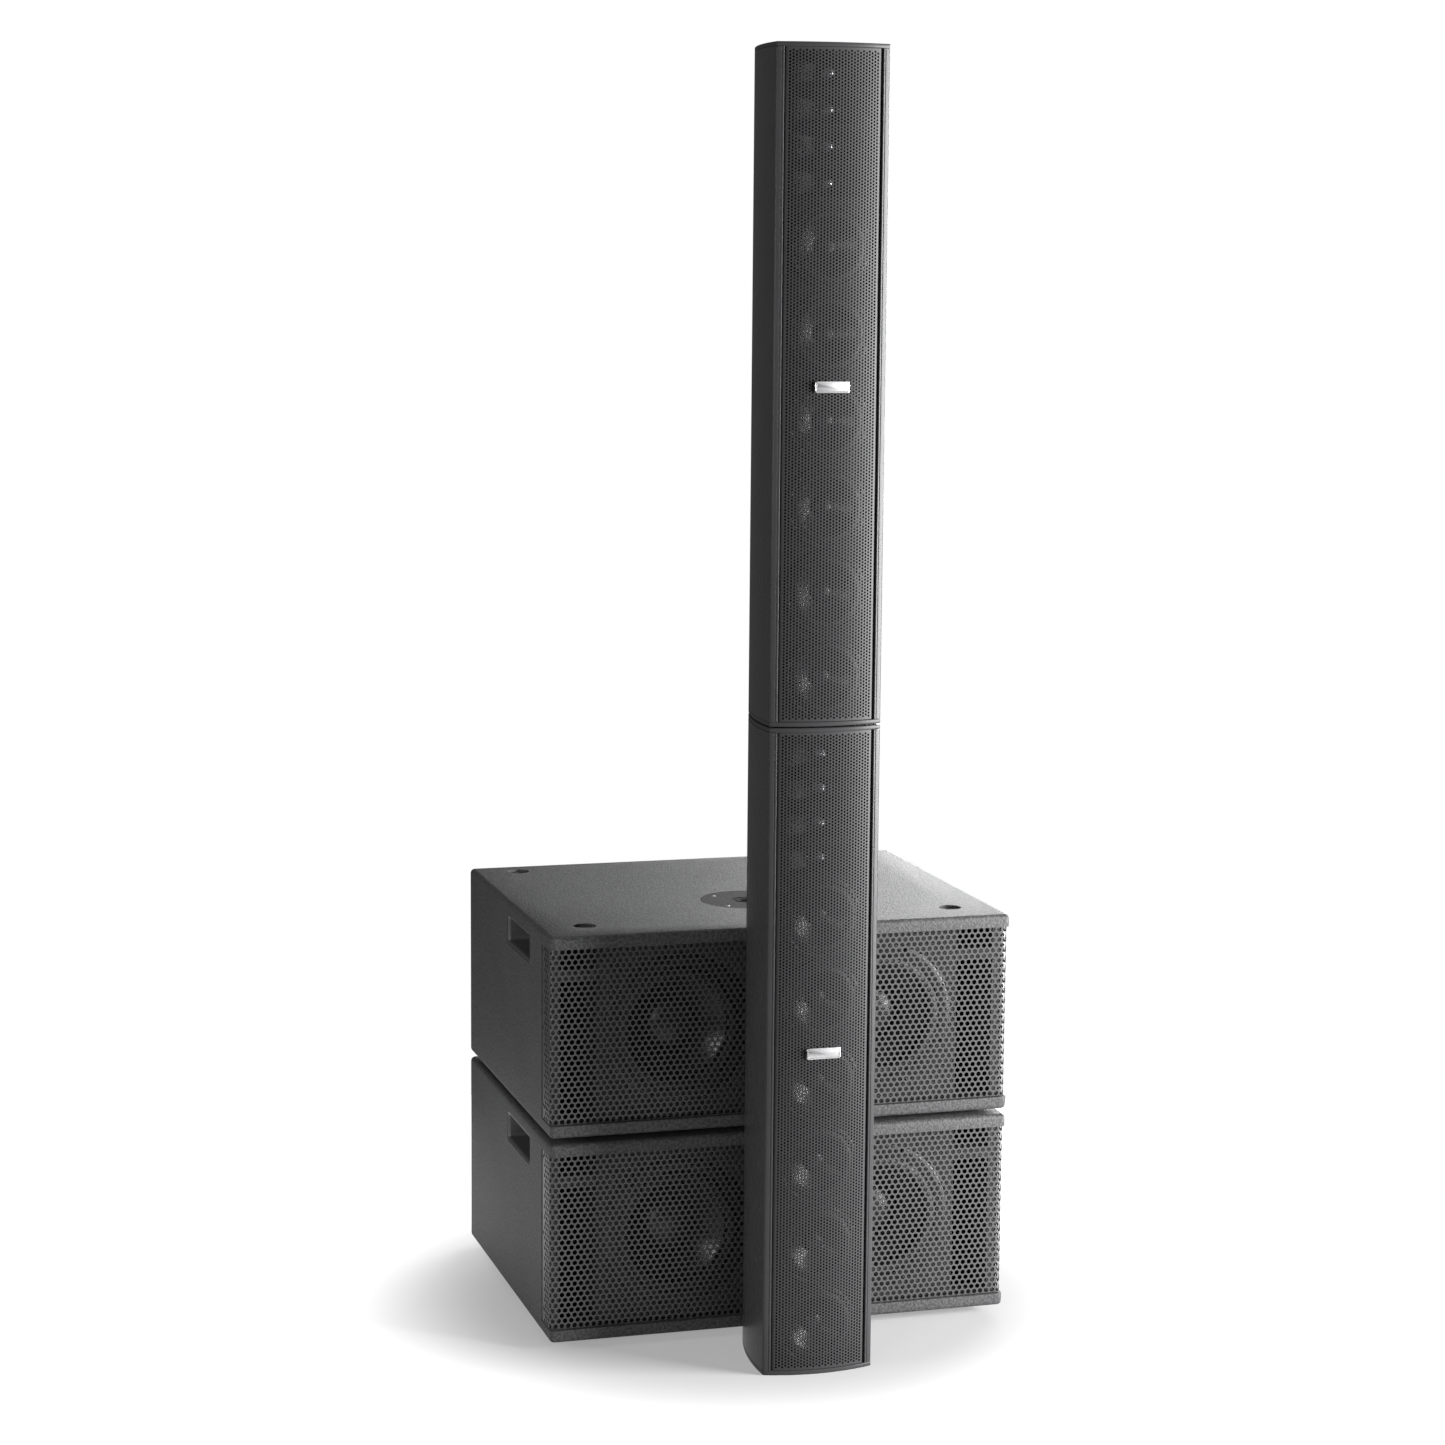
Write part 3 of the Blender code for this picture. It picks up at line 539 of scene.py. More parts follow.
def finish(name, colour, roughness, grain=600, relief=4e-5, mottling=0.12, stretch=(1, 1, 1), **sockets):
    """A material whose colour, roughness and relief vary with noise that stays on the piece."""
    made = bpy.data.materials.new(name)
    made.use_nodes = True
    tree = made.node_tree
    shader = set_inputs(tree.nodes["Principled BSDF"], **sockets)
    place = new_node(tree, "TexCoord")
    mapping = new_node(tree, "Mapping", scale=stretch)
    fine = new_node(tree, "TexNoise", scale=grain, detail=3)
    broad = new_node(tree, "TexNoise", scale=14, detail=4)
    tone = new_node(tree, "Mix")
    tone.data_type = "RGBA"
    darker, lighter = ((*[c * (1 + way * mottling) for c in colour], 1) for way in SIDES)
    set_inputs(tone, a=darker, b=lighter)
    smoothest, roughest = max(roughness - 0.06, 0.02), min(roughness + 0.06, 1.0)
    polish = new_node(tree, "MapRange", to_min=smoothest, to_max=roughest)
    bump = new_node(tree, "Bump", strength=0.6, distance=relief)
    connect(
        tree,
        (place, "Object", mapping, "Vector"),
        (mapping, "Vector", fine, "Vector"),
        (place, "Object", broad, "Vector"),
        (broad, "Fac", tone, "Factor"),
        (tone, "Result", shader, "Base Color"),
        (fine, "Fac", polish, "Value"),
        (polish, "Result", shader, "Roughness"),
        (fine, "Fac", bump, "Height"),
        (bump, "Normal", shader, "Normal"),
    )
    return made


def pebbled_paint(name, colour, roughness, specular):
    """Sprayed texture paint: close, round-topped drops over a fine grain, with a speckle."""
    made = finish(name, colour, roughness, 1300, 1e-4, 0.15, specular_ior_level=specular)
    tree = made.node_tree
    kinds = ("BSDF_PRINCIPLED", "TEX_COORD", "BUMP", "MIX")
    shader, place, fine, tone = [next(n for n in tree.nodes if n.type == kind) for kind in kinds]
    drops = new_node(tree, "TexVoronoi")
    drops.feature = "SMOOTH_F1"
    set_inputs(drops, scale=420)
    bump = new_node(tree, "Bump", strength=0.8, distance=0.0006)
    bump.invert = True
    crumbs = new_node(tree, "TexNoise", scale=260, detail=2)
    spread = new_node(tree, "MapRange", from_min=0.38, from_max=0.62, to_min=0.35, to_max=1.9)
    speckle = new_node(tree, "Mix")
    speckle.data_type = "RGBA"
    speckle.blend_type = "MULTIPLY"
    set_inputs(speckle, factor=0.5)
    connect(
        tree,
        (place, "Object", drops, "Vector"),
        (drops, "Distance", bump, "Height"),
        (fine, "Normal", bump, "Normal"),
        (bump, "Normal", shader, "Normal"),
        (place, "Object", crumbs, "Vector"),
        (crumbs, "Fac", spread, "Value"),
        (tone, "Result", speckle, "A"),
        (spread, "Result", speckle, "B"),
        (speckle, "Result", shader, "Base Color"),
    )
    return made


DRAWN = (1, 1, 0.03)  # draws the grain of an extrusion out along Z

FINISH = dict(
    extrusion=finish(
        "painted_extrusion", grey(0.028, 0.029), 0.27, 900, 3e-5, stretch=DRAWN, specular_ior_level=0.09
    ),
    cap=finish("painted_end_plate", grey(0.025, 0.026), 0.34, 1100, specular_ior_level=0.10),
    column_grille=finish("column_grille_coat", grey(0.023, 0.024), 0.42, 1500, 2e-5, specular_ior_level=0.12),
    sub_grille=finish("sub_grille_coat", grey(0.029, 0.030), 0.40, 1500, 3e-5, specular_ior_level=0.6),
    paint=pebbled_paint("textured_cabinet_paint", grey(0.033, 0.034), 0.60, 0.22),
    baffle=finish("baffle_paint", grey(0.009, 0.009), 0.60, specular_ior_level=0.3),
    basket=finish("cast_frame_paint", grey(0.013, 0.014), 0.40, 1000, 1e-4),
    paper=finish("pressed_paper_cone", grey(0.012, 0.012), 0.28, 420, 25e-5, 0.25, (1, 1, 1.6)),
    cap_dome=finish("dust_cap_lacquer", grey(0.016, 0.017), 0.30, 800, 5e-5),
    rubber=finish("surround_rubber", grey(0.012, 0.012), 0.50, 900),
    horn=finish("moulded_horn_plastic", grey(0.007, 0.008), 0.50, 1400, 3e-5, specular_ior_level=0.25),
    plug=finish("satin_phase_plug", grey(0.85, 0.86), 0.35, 1800, 1e-5, metallic=0.5),
    moulding=finish("moulded_grained_plastic", grey(0.035, 0.036), 0.40, 1200, 6e-5),
    black_steel=finish("blackened_steel", grey(0.055, 0.058), 0.38, 700, metallic=0.9),
    zinc=finish("zinc_plated_steel", grey(0.55, 0.56), 0.28, 1300, 2e-5, 0.06, metallic=1.0),
    rear_panel=finish("rear_panel_coat", grey(0.024, 0.025), 0.45, 1300, 6e-5, metallic=0.2),
    amp_panel=finish("amplifier_panel_coat", grey(0.022, 0.023), 0.50, 1300, 8e-5, metallic=0.2),
    silver=finish("brushed_badge", grey(0.66, 0.67), 0.30, 500, 2e-5, 0.05, (0.04, 1, 1), metallic=1.0),
    knob=finish("knob_plastic", grey(0.050, 0.052), 0.50, 1600),
    white_ink=finish("light_print", grey(0.62, 0.60), 0.55, 1500, 1e-5, 0.05),
    foot_rubber=finish("foot_rubber", grey(0.018, 0.018), 0.75, 900, 1e-4),
    pole_plate=pebbled_paint("pole_plate_paint", grey(0.012, 0.012), 0.75, 0.1),
    contact=finish("contact_metal", (0.75, 0.66, 0.45), 0.25, 1500, 1e-5, metallic=1.0),
    circuit=finish("circuit_board_lacquer", (0.010, 0.045, 0.022), 0.40, 300, 3e-5, 0.3),
    lens=finish("lamp_lens", (0.05, 0.30, 0.08), 0.20, 900, 1e-5, 0.08),
)


def placed(name, mesh, look, spot):
    """An object in the scene, with its finish."""
    obj = bpy.data.objects.new(name, mesh)
    if not mesh.materials:
        mesh.materials.append(FINISH[look])
    obj.location = spot
    bpy.context.scene.collection.objects.link(obj)
    return obj


def add(name, mesh, look, spot, body, slot=None, nodes=()):
    """A piece that rides on a body, hiding the CAD nodes that it stands for; its slot argument is not used.
    """
    obj = placed(name, mesh, look, spot)
    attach(obj, body)
    if nodes:
        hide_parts(*nodes)


def add_flexing(name, mesh, look, spot):
    """A ring of rubber between a frame and its cone, placed with its transform baked into its own mesh."""
    obj = placed(name, mesh.copy(), look, spot)
    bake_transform(obj)


# Fasteners and controls


def level_ring(radius, height, hexagonal=False, steps=24):
    """A level ring of points, on a circle or on a hexagon."""
    ring = []
    for k in range(steps):
        angle = TURN * k / steps
        reach = radius
        if hexagonal:
            reach *= math.cos(math.pi / 6) / math.cos(angle % (math.pi / 3) - math.pi / 6)
        ring.append((reach * math.cos(angle), reach * math.sin(angle), height))
    return ring


def screw_mesh(radius, height, stub):
    """A round-headed screw with a hexagonal socket, standing on z = 0, with a stub below it."""
    socket = ((0.45, 0.35), (0.45, 1.0))
    head = ((0.62, 1.0), (0.90, 0.80), (1.0, 0.35), (1.0, 0.0), (0.5, 0.0))
    rings = [level_ring(radius * r, height * z, True) for r, z in socket]
    rings += [level_ring(radius * r, height * z) for r, z in head]
    return mesh_of("screw", loft([*rings, level_ring(radius * 0.5, -stub)]), 30)


FACING = dict(
    front=Matrix.Rotation(math.pi / 2, 4, "X"),
    back=Matrix.Rotation(-math.pi / 2, 4, "X"),
    left=Matrix.Rotation(-math.pi / 2, 4, "Y"),
    right=Matrix.Rotation(math.pi / 2, 4, "Y"),
    up=Matrix.Identity(4),
    down=Matrix.Rotation(math.pi, 4, "X"),
)


def screws(name, spots, facing, size, place, body, look="black_steel"):
    """One piece of several screws that face the same way."""
    head = screw_mesh(*size)
    mesh = group_of(name, head, [Matrix.Translation(spot) @ FACING[facing] for spot in spots])
    bpy.data.meshes.remove(head)
    add(name, mesh, look, place, body)


def flat_panel(name, half, heights, y, rounding, layout):
    """A rear plate with the holes for its controls."""
    through = (y[0] - WALL, y[1] + WALL)
    cuts = [prism(circle(spot, SOCKET_HOLE, 32), through, "Y") for spot in layout["sockets"]]
    cuts.append(prism(circle(layout["knob"], SHAFT_HOLE, 24), through, "Y"))
    cuts.append(prism(oblong(*SWITCH_HOLE, centre=layout["switch"]), through, "Y"))
    return carved(name, prism(rectangle((-half, half), heights, rounding, 4), y, "Y", EDGE), cuts)


def three_pins():
    """Places of the three pins of a signal plug."""
    return [(0.0035 * math.cos(a), 0.0035 * math.sin(a)) for a in map(math.radians, (30, 150, 270))]


def socket_mesh(kind):
    """A panel socket whose flange lies at y = 0, seen from +Y."""
    floor = -SOCKET_FLOOR[kind]
    flange = prism(oblong(0.0130, 0.0155, 0.003, 4), (0, SOCKET_FLANGE), "Y", EDGE)
    bore = prism(circle((0, 0), 0.0104, 40), (-0.001, 0.004), "Y")
    barrel = mm((0, -21.2), (11.5, -21.2), (11.5, 0.8), (9.8, 0.8), (9.8, floor), (0, floor))
    joins = [turned(barrel, 40)]
    if kind == "mains":
        post = mm((0, floor - 1), (6, floor - 1), (6, 1.4), (5.2, 1.8), (0, 1.8))
        joins.append(turned(post, 32))
    mesh = carved(f"{kind}_socket", flange, [bore], joins)
    if kind == "outlet":
        holes = [prism(circle(spot, 0.0013, 16), (-0.014, 0.004), "Y") for spot in three_pins()]
        latch = prism(rectangle((-0.0030, 0.0030), (0.0068, 0.0086)), (-0.006, 0.004), "Y")
        return recut(mesh, [*holes, latch])
    if kind == "mains":
        blades = [oblong(0.0006, 0.0024, centre=(side * 0.0028, 0)) for side in SIDES]
        slots = [prism(blade, (-0.010, 0.004), "Y") for blade in blades]
        key = prism(rectangle((-0.0012, 0.0012), (0.0072, 0.0092)), (-0.0015, 0.004), "Y")
        return recut(mesh, [*slots, key])
    return mesh


def contact_pins_mesh():
    """The three pins that stand in an inlet."""
    pin = mm((0, -10.8), (1.1, -10.8), (1.1, -2.8), (0.7, -2.0), (0, -2.0))
    data = bmesh.new()
    for x, z in three_pins():
        turned(pin, 16, (x, 0, z), data=data)
    return mesh_of("contact_pins", data)


def knob_meshes():
    """The knob's grip with its shaft, and the light line on it."""
    shaft = mm((0, -11), (3, -11), (3, 1))
    grip = mm((8, 1.4), (8.3, 2), (7.4, 11.8), (6.6, 12.9), (5.2, 13), (4.9, 12.7), (0, 12.7))
    line = prism(rectangle((-0.0005, 0.0005), (0.0015, 0.0063), 0.0004), (0.0123, 0.0135), "Y", 0.0002)
    return mesh_of("level_knob", turned(shaft + grip, 48, knurl=0.00025)), mesh_of("knob_line", line)


def rocker_mesh():
    """A rocker of a mains switch in its off position, tilted about the panel's face."""
    section = softened(mm((3, -9), (1, 0), (3, 9), (-6, 7), (-6, -7)), 0.0008)
    data = prism(section, (-0.0058, 0.0058), "X", EDGE)
    tilt = Matrix.Rotation(math.radians(7), 3, "X")
    bmesh.ops.rotate(data, verts=data.verts, cent=(0, 0, 0), matrix=tilt)
    return mesh_of("rocker", data)


def bezel_mesh():
    """The frame round a rocker."""
    hole = prism(oblong(0.0063, 0.0103, 0.0008), (-0.002, 0.004), "Y")
    return carved("bezel", prism(oblong(0.0100, 0.0140, 0.0022, 4), (GAP, 0.0014), "Y", EDGE), [hole])


def scale_mesh():
    """Marks round a knob, from lowest to highest level."""
    data = bmesh.new()
    for mark in range(11):
        angle = math.radians(240 - 30 * mark)
        length = 0.0026 if mark % 5 == 0 else 0.0015
        along = Vector((math.cos(angle), math.sin(angle)))
        across = Vector((-along.y, along.x)) * 0.0003
        near, far = along * 0.0112, along * (0.0112 + length)
        corners = (near - across, far - across, far + across, near + across)
        prism([tuple(corner) for corner in corners], (0.00005, 0.00020), "Y", data=data)
    return mesh_of("scale", data)


SOCKETS = {kind: socket_mesh(kind) for kind in SOCKET_FLOOR}
CONTACT_PINS = contact_pins_mesh()
KNOB, KNOB_LINE = knob_meshes()
ROCKER, BEZEL, SCALE = rocker_mesh(), bezel_mesh(), scale_mesh()
LAMP = mesh_of("lamp", turned(mm((0, -2), (1.3, -2), (1.3, 0.4), (0.9, 1.1), (0, 1.3)), 20))


def add_controls(prefix, place, body, face_y, layout):
    """Everything that stands on a rear panel, with the board behind it."""
    sockets = layout["sockets"]
    sides = [(min(along) - BOARD_MARGIN, max(along) + BOARD_MARGIN) for along in zip(*sockets)]
    back = face_y - BOARD_DEPTH
    board = mesh_of("board", prism(rectangle(*sides, 0.002), (back, back + BOARD_THICKNESS), "Y"))
    add(f"{prefix}_circuit_board", board, "circuit", place, body, None, [f"{prefix}_socket_board"])
    outside = face_y + GAP
    flange_screws = []
    for number, ((x, z), kind) in enumerate(zip(sockets, SOCKET_KINDS), start=1):
        at = place + Vector((x, outside, z))
        add(f"{prefix}_{kind}_socket_{number}", SOCKETS[kind], "moulding", at, body, "socket_plastic")
        if kind == "inlet":
            add(f"{prefix}_inlet_pins", CONTACT_PINS, "contact", at, body)
        flange_screws += [(x + side * 0.0102, outside + SOCKET_FLANGE, z + side * 0.0127) for side in SIDES]
    screws(f"{prefix}_socket_screws", flange_screws, "back", SOCKET_SCREW, place, body)
    at = place + Vector((layout["knob"][0], face_y, layout["knob"][1]))
    turning = f"{prefix}_level_knob"
    add(f"{prefix}_knob_grip", KNOB, "knob", at, turning, "knob_plastic", [turning])
    add(f"{prefix}_knob_line", KNOB_LINE, "white_ink", at, turning)
    add(f"{prefix}_level_scale", SCALE, "white_ink", at, body)
    at = place + Vector((layout["switch"][0], face_y, layout["switch"][1]))
    rocking = f"{prefix}_power_switch"
    add(f"{prefix}_rocker", ROCKER, "moulding", at, rocking, "switch_plastic", [rocking])
    add(f"{prefix}_switch_bezel", BEZEL, "moulding", at, body, "switch_plastic")
    for number, (x, z) in enumerate(layout["lamps"], start=1):
        add(f"{prefix}_lamp_{number}", LAMP, "lens", place + Vector((x, face_y, z)), body)


# Column unit


BOW_RADIUS = (OPENING_HALF**2 + FRONT_BOW**2) / (2 * FRONT_BOW)


def bow_y(x):
    """How far back the bowed front lies at x."""
    return BOW_RADIUS - FRONT_BOW - math.sqrt(BOW_RADIUS**2 - x**2)


def column_side():
    """Right side of the column's section, from its front corner to its flat back."""
    reach = math.sqrt(SIDE_RADIUS**2 - SIDE_CENTRE_Y**2)
    side_centre = (COLUMN_WIDTH / 2 - reach, SIDE_CENTRE_Y)
    corner_y = COLUMN_DEPTH - BACK_CORNER
    rise = corner_y - SIDE_CENTRE_Y
    corner_x = side_centre[0] + math.sqrt((SIDE_RADIUS - BACK_CORNER) ** 2 - rise**2)
    tangent = math.atan2(rise, corner_x - side_centre[0])
    front = math.asin((bow_y(COLUMN_WIDTH / 2) - SIDE_CENTRE_Y) / SIDE_RADIUS)
    side = arc(side_centre, SIDE_RADIUS, front, tangent, 18)
    corner = arc((corner_x, corner_y), BACK_CORNER, tangent, math.pi / 2, 8)
    return side + corner[1:]


def rail_face():
    """Front of the right rail from the opening outwards, on the bow of the front, with its groove."""
    near, far = RAIL_GROOVE
    groove = [(near, bow_y(near)), (near + 0.0002, bow_y(near) + GROOVE_DEPTH)]
    groove += [(far - 0.0002, bow_y(far) + GROOVE_DEPTH), (far, bow_y(far))]
    return [(OPENING_HALF, 0.0), *groove]


def column_shell_mesh():
    outer = rail_face() + column_side()
    wall_back = COLUMN_DEPTH - BACK_CORNER - 0.009
    wall = [(x - WALL, y) for x, y in column_side() if RAIL_DEPTH < y < wall_back]
    step = (wall[0][0] + WALL / 4, RAIL_DEPTH)
    boss_end = (REAR_PANEL_HALF + WALL, COLUMN_DEPTH - WALL)
    inner = [(OPENING_HALF, RAIL_DEPTH), step, *wall, boss_end]
    outline = both_sides(outer) + [(-x, y) for x, y in inner] + inner[::-1]
    base = prism(softened(outline, 0.0030, 6, 0.6), (CAP + GAP, UNIT_HEIGHT - CAP - GAP))
    half = REAR_PANEL_HALF + GAP
    window = rectangle((-half, half), (COLUMN_DEPTH - 2 * WALL, COLUMN_DEPTH + WALL))
    return carved("column_shell", base, [prism(window, (REAR_PANEL_Z[0] - GAP, REAR_PANEL_Z[1] + GAP))])


def column_cap_mesh(base_z, outward, pins):
    """End plate with rounded edges and counterbored screw holes on its outer face."""
    steps = 28
    front = [(x, bow_y(x)) for x in (COLUMN_WIDTH * (k / steps - 0.5) for k in range(1, steps))]
    outline = softened(front + both_sides(column_side()), 0.0022, 4, 0.6)
    face = base_z + CAP if outward > 0 else base_z
    radius, depth = CAP_COUNTERBORE
    cuts = [prism(circle(spot, radius, 24), (face - depth, face + depth)) for spot in CAP_SCREW_SPOTS]
    if pins:
        holes = [circle((side * PIN_SPOT[0], PIN_SPOT[1]), PIN_RADIUS + GAP, 32) for side in SIDES]
        cuts += [prism(hole, (base_z - CAP, base_z + 2 * CAP)) for hole in holes]
    return carved("column_cap", prism(outline, (base_z, base_z + CAP), rounding=0.0011), cuts)


def column_grille_mesh():
    """Bowed perforated sheet, whose plain edges bend back."""
    height = UNIT_HEIGHT - 2 * (CAP + GAP)
    bend = COLUMN_GRILLE_BEND
    bow = BOW_RADIUS - COLUMN_GRILLE_SETBACK
    centre_y = BOW_RADIUS - FRONT_BOW
    lean = math.asin((COLUMN_GRILLE_HALF - bend) / (bow - bend))
    bend_centre = (COLUMN_GRILLE_HALF - bend, centre_y - (bow - bend) * math.cos(lean))
    arc_end = bow * lean
    bend_end = arc_end + bend * (math.pi / 2 - lean)
    length = bend_end + COLUMN_GRILLE_END_Y - bend_centre[1]

    def place(points, depth):
        along, across = points[:, 0], -points[:, 1]
        reach, side = np.abs(across), np.sign(across)
        angle = reach / bow
        x, y = (bow - depth) * np.sin(angle), centre_y - (bow - depth) * np.cos(angle)
        turn = lean + np.clip((reach - arc_end) / bend, 0, math.pi / 2 - lean)
        bent = reach > arc_end
        back = bend_centre[1] - (bend - depth) * np.cos(turn) + np.maximum(reach - bend_end, 0)
        x = np.where(bent, bend_centre[0] + (bend - depth) * np.sin(turn), x)
        return np.stack([x * side, np.where(bent, back, y), along + height / 2 + CAP + GAP], 1)

    ends = (0.002, length - arc_end + 0.0005)
    field, plain = perforation(height, 2 * length, **COLUMN_HOLES, ends=ends)
    knots = [arc_end + (bend_end - arc_end) * s for s in parts_of_one(4)]
    plain = split_strips(plain[:, :, ::-1], sorted([-k for k in knots] + knots))[:, :, ::-1]
    return sheet_mesh("column_grille", [field, plain], place, COLUMN_GRILLE_STEEL)


def tweeter_meshes():
    """A horn with its flange, the driver behind it and the plug in its throat, all round the origin."""
    front, back, throat = HORN_Y
    rings = []
    for s in parts_of_one(8):
        wide = HORN_THROAT + (HORN_MOUTH[0] - HORN_THROAT) * s**1.5
        tall = HORN_THROAT + (HORN_MOUTH[1] - HORN_THROAT) * s
        rings.append(superellipse(wide, tall, 2 + 8 * s**2, throat - (throat - front) * s**0.8))
    half_x, half_z = TWEETER_HALF
    rings += [
        superellipse(half_x - 0.0005, half_z - 0.0005, 16, front),
        superellipse(half_x, half_z, 16, front + 0.0005),
        superellipse(half_x, half_z, 16, back),
        superellipse(0.0550, 0.0195, 10, back),
        superellipse(0.0500, 0.0190, 6, 0.0190),
        superellipse(0.0190, 0.0160, 2, 0.0390),
        superellipse(0.0150, 0.0150, 2, 0.0395),
    ]
    driver = mm((0, 65), (18, 65), (19, 64), (19, 41), (18, 40), (0, 40))
    plug = mm((0, 37.5), (6.2, 37.5), (6.4, 30), (6, 22), (5, 16), (3.4, 13), (1.7, 11.6), (0, 11.2))
    return (
        mesh_of("horn", loft(rings), 45),
        mesh_of("driver", turned(driver, 40)),
        mesh_of("plug", turned(plug, 32), 60),
    )


def cone_outline(neck, widening, back, rise, power, paper, coil, steps):
    """Section of a curved cone and its coil, in millimetres from the driver's middle."""
    face = [(neck + widening * s, back - rise * s**power) for s in parts_of_one(steps)]
    return mm(*face, *[(r, y + paper) for r, y in reversed(face)], *coil)


def dome_outline(radius, back, rise, lip, steps):
    """Section of a dust cap, in millimetres."""
    angles = [math.pi / 2 * s for s in parts_of_one(steps)]
    return mm(*[(radius * math.sin(a), back - rise * math.cos(a)) for a in angles], *lip)


def roll_outline(outer, middle, bulge, inner, rubber, steps):
    """Section of a surround from its outer edge over its roll to its inner edge, in millimetres."""
    angles = [math.pi * s for s in parts_of_one(steps)[1:-1]]
    roll = [(middle[0] + bulge[0] * math.cos(a), middle[1] - bulge[1] * math.sin(a)) for a in angles]
    face = [*outer, *roll, *inner]
    return mm(*face, *[(r + rubber[0], y + rubber[1]) for r, y in reversed(face)])


def driver_meshes(outlines, steps):
    return [mesh_of(name, turned(outline, steps), 50) for name, outline in outlines.items()]


def woofer_meshes():
    """The pressed frame, magnet, cone, dust cap and surround of a column woofer, round the origin."""
    rim = mm((50.5, 8.6), (51.1, 8), (56, 8), (56.5, 8.5), (56.5, 12.4), (53, 12.4))
    basket = mm((53, 24), (36, 44.5), (20, 44.5), (20, 43), (35, 43), (50.8, 23.5), (50.8, 14))
    outlines = dict(
        frame=rim + basket,
        magnet=mm((0, 64), (35, 64), (36, 63), (36, 46.2), (35, 45.2), (0, 45.2)),
        cone=cone_outline(12.6, 25.6, 28.5, 15, 0.95, 0.9, ((12.6, 40), (11.8, 40), (11.8, 29)), 8),
        dome=dome_outline(13.4, 25.8, 6, ((13.4, 26.8), (12.4, 26.8), (0, 21.5)), 8),
        roll=roll_outline(
            ((49.5, 8.4), (47.8, 8)), (43.2, 7.8), (4.4, 1.6), ((38.6, 10), (38.1, 13.4)), (0.3, 0.8), 8
        ),
    )
    return driver_meshes(outlines, 64)


def heat_sink_mesh():
    """Cooling fins on a base plate."""
    base_y = COLUMN_DEPTH - FIN_DEPTH - WALL
    root_y = COLUMN_DEPTH - FIN_DEPTH
    half = REAR_PANEL_HALF
    pitch = (2 * half - FIN_WIDTH) / (FIN_COUNT - 1)
    outline = [(half, base_y)]
    for k in reversed(range(FIN_COUNT)):
        left = -half + pitch * k
        right = left + FIN_WIDTH
        outline += [(right, root_y), (right, COLUMN_DEPTH), (left, COLUMN_DEPTH), (left, root_y)]
    outline = [p for p in outline if p not in ((half, root_y), (-half, root_y))]
    outline.append((-half, base_y))
    return mesh_of("heat_sink", prism(softened(outline, 0.0006, 3, 0.6), (REAR_PANEL_Z[0], FINS_TOP)))


def badge_meshes():
    """A plain oblong badge: a rim round a sunken field."""
    half, tall = BADGE_HALF
    rim = prism(oblong(half, tall, 0.003, 5), (0.0, 0.0020), "Y", 0.0006)
    hollow = prism(oblong(half - 0.002, tall - 0.002, 0.0018, 4), (-0.001, 0.0006), "Y")
    field = prism(oblong(half - 0.0021, tall - 0.0021, 0.0018, 4), (0.0003, 0.0012), "Y", 0.0002)
    return carved("badge_rim", rim, [hollow]), mesh_of("badge_field", field)


COLUMN = dict(
    shell=column_shell_mesh(),
    grille=column_grille_mesh(),
    woofer=woofer_meshes(),
    tweeter=tweeter_meshes(),
    heat_sink=heat_sink_mesh(),
    badge=badge_meshes(),
)


def column_unit(prefix, body, pin_end):
    """One column unit. The end plate at pin_end has the holes for the coupling pins."""
    shell_box, cap_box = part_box(f"{prefix}_shell"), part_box(f"{prefix}_bottom_cap")
    place = Vector((0, shell_box[0].y, cap_box[0].z))
    shell, slot = COLUMN["shell"], "anodised_aluminium"
    add(f"{prefix}_body", shell, "extrusion", place, body, slot, [f"{prefix}_shell"])
    for end, base_z, outward in (("bottom", 0, -1), ("top", UNIT_HEIGHT - CAP, 1)):
        mesh = column_cap_mesh(base_z, outward, pin_end == end)
        add(f"{prefix}_{end}_plate", mesh, "cap", place, body, slot, [f"{prefix}_{end}_cap"])
        face = base_z + CAP if outward > 0 else base_z
        spots = [(*spot, face - outward * CAP_SCREW_SINK) for spot in CAP_SCREW_SPOTS]
        facing = "up" if outward > 0 else "down"
        screws(f"{prefix}_{end}_plate_screws", spots, facing, CAP_SCREW, place, body)
    column_drivers(prefix, place, body)
    grille = COLUMN["grille"]
    add(f"{prefix}_front_grille", grille, "column_grille", place, body, "grille_steel", [f"{prefix}_grille"])
    rim, field = COLUMN["badge"]
    at = place + Vector((0, -FRONT_BOW + 0.0002, BADGE_Z))
    add(f"{prefix}_badge_rim", rim, "silver", at, body)
    add(f"{prefix}_badge_field", field, "silver", at, body)
    column_back(prefix, place, body)


def column_baffle_mesh(woofer_zs, tweeter_zs):
    """The board behind the grille, with an opening for each driver."""
    half, margin = OPENING_HALF - 2 * GAP, CAP + 2 * GAP
    board = prism(rectangle((-half, half), (margin, UNIT_HEIGHT - margin)), COLUMN_BAFFLE_Y, "Y")
    through = (COLUMN_BAFFLE_Y[0] - WALL, COLUMN_BAFFLE_Y[1] + WALL)
    openings = [circle((0, z), WOOFER_OPENING, 48) for z in woofer_zs]
    openings += [oblong(*TWEETER_OPENING, 0.003, centre=(0, z)) for z in tweeter_zs]
    return carved("baffle", board, [prism(opening, through, "Y") for opening in openings])


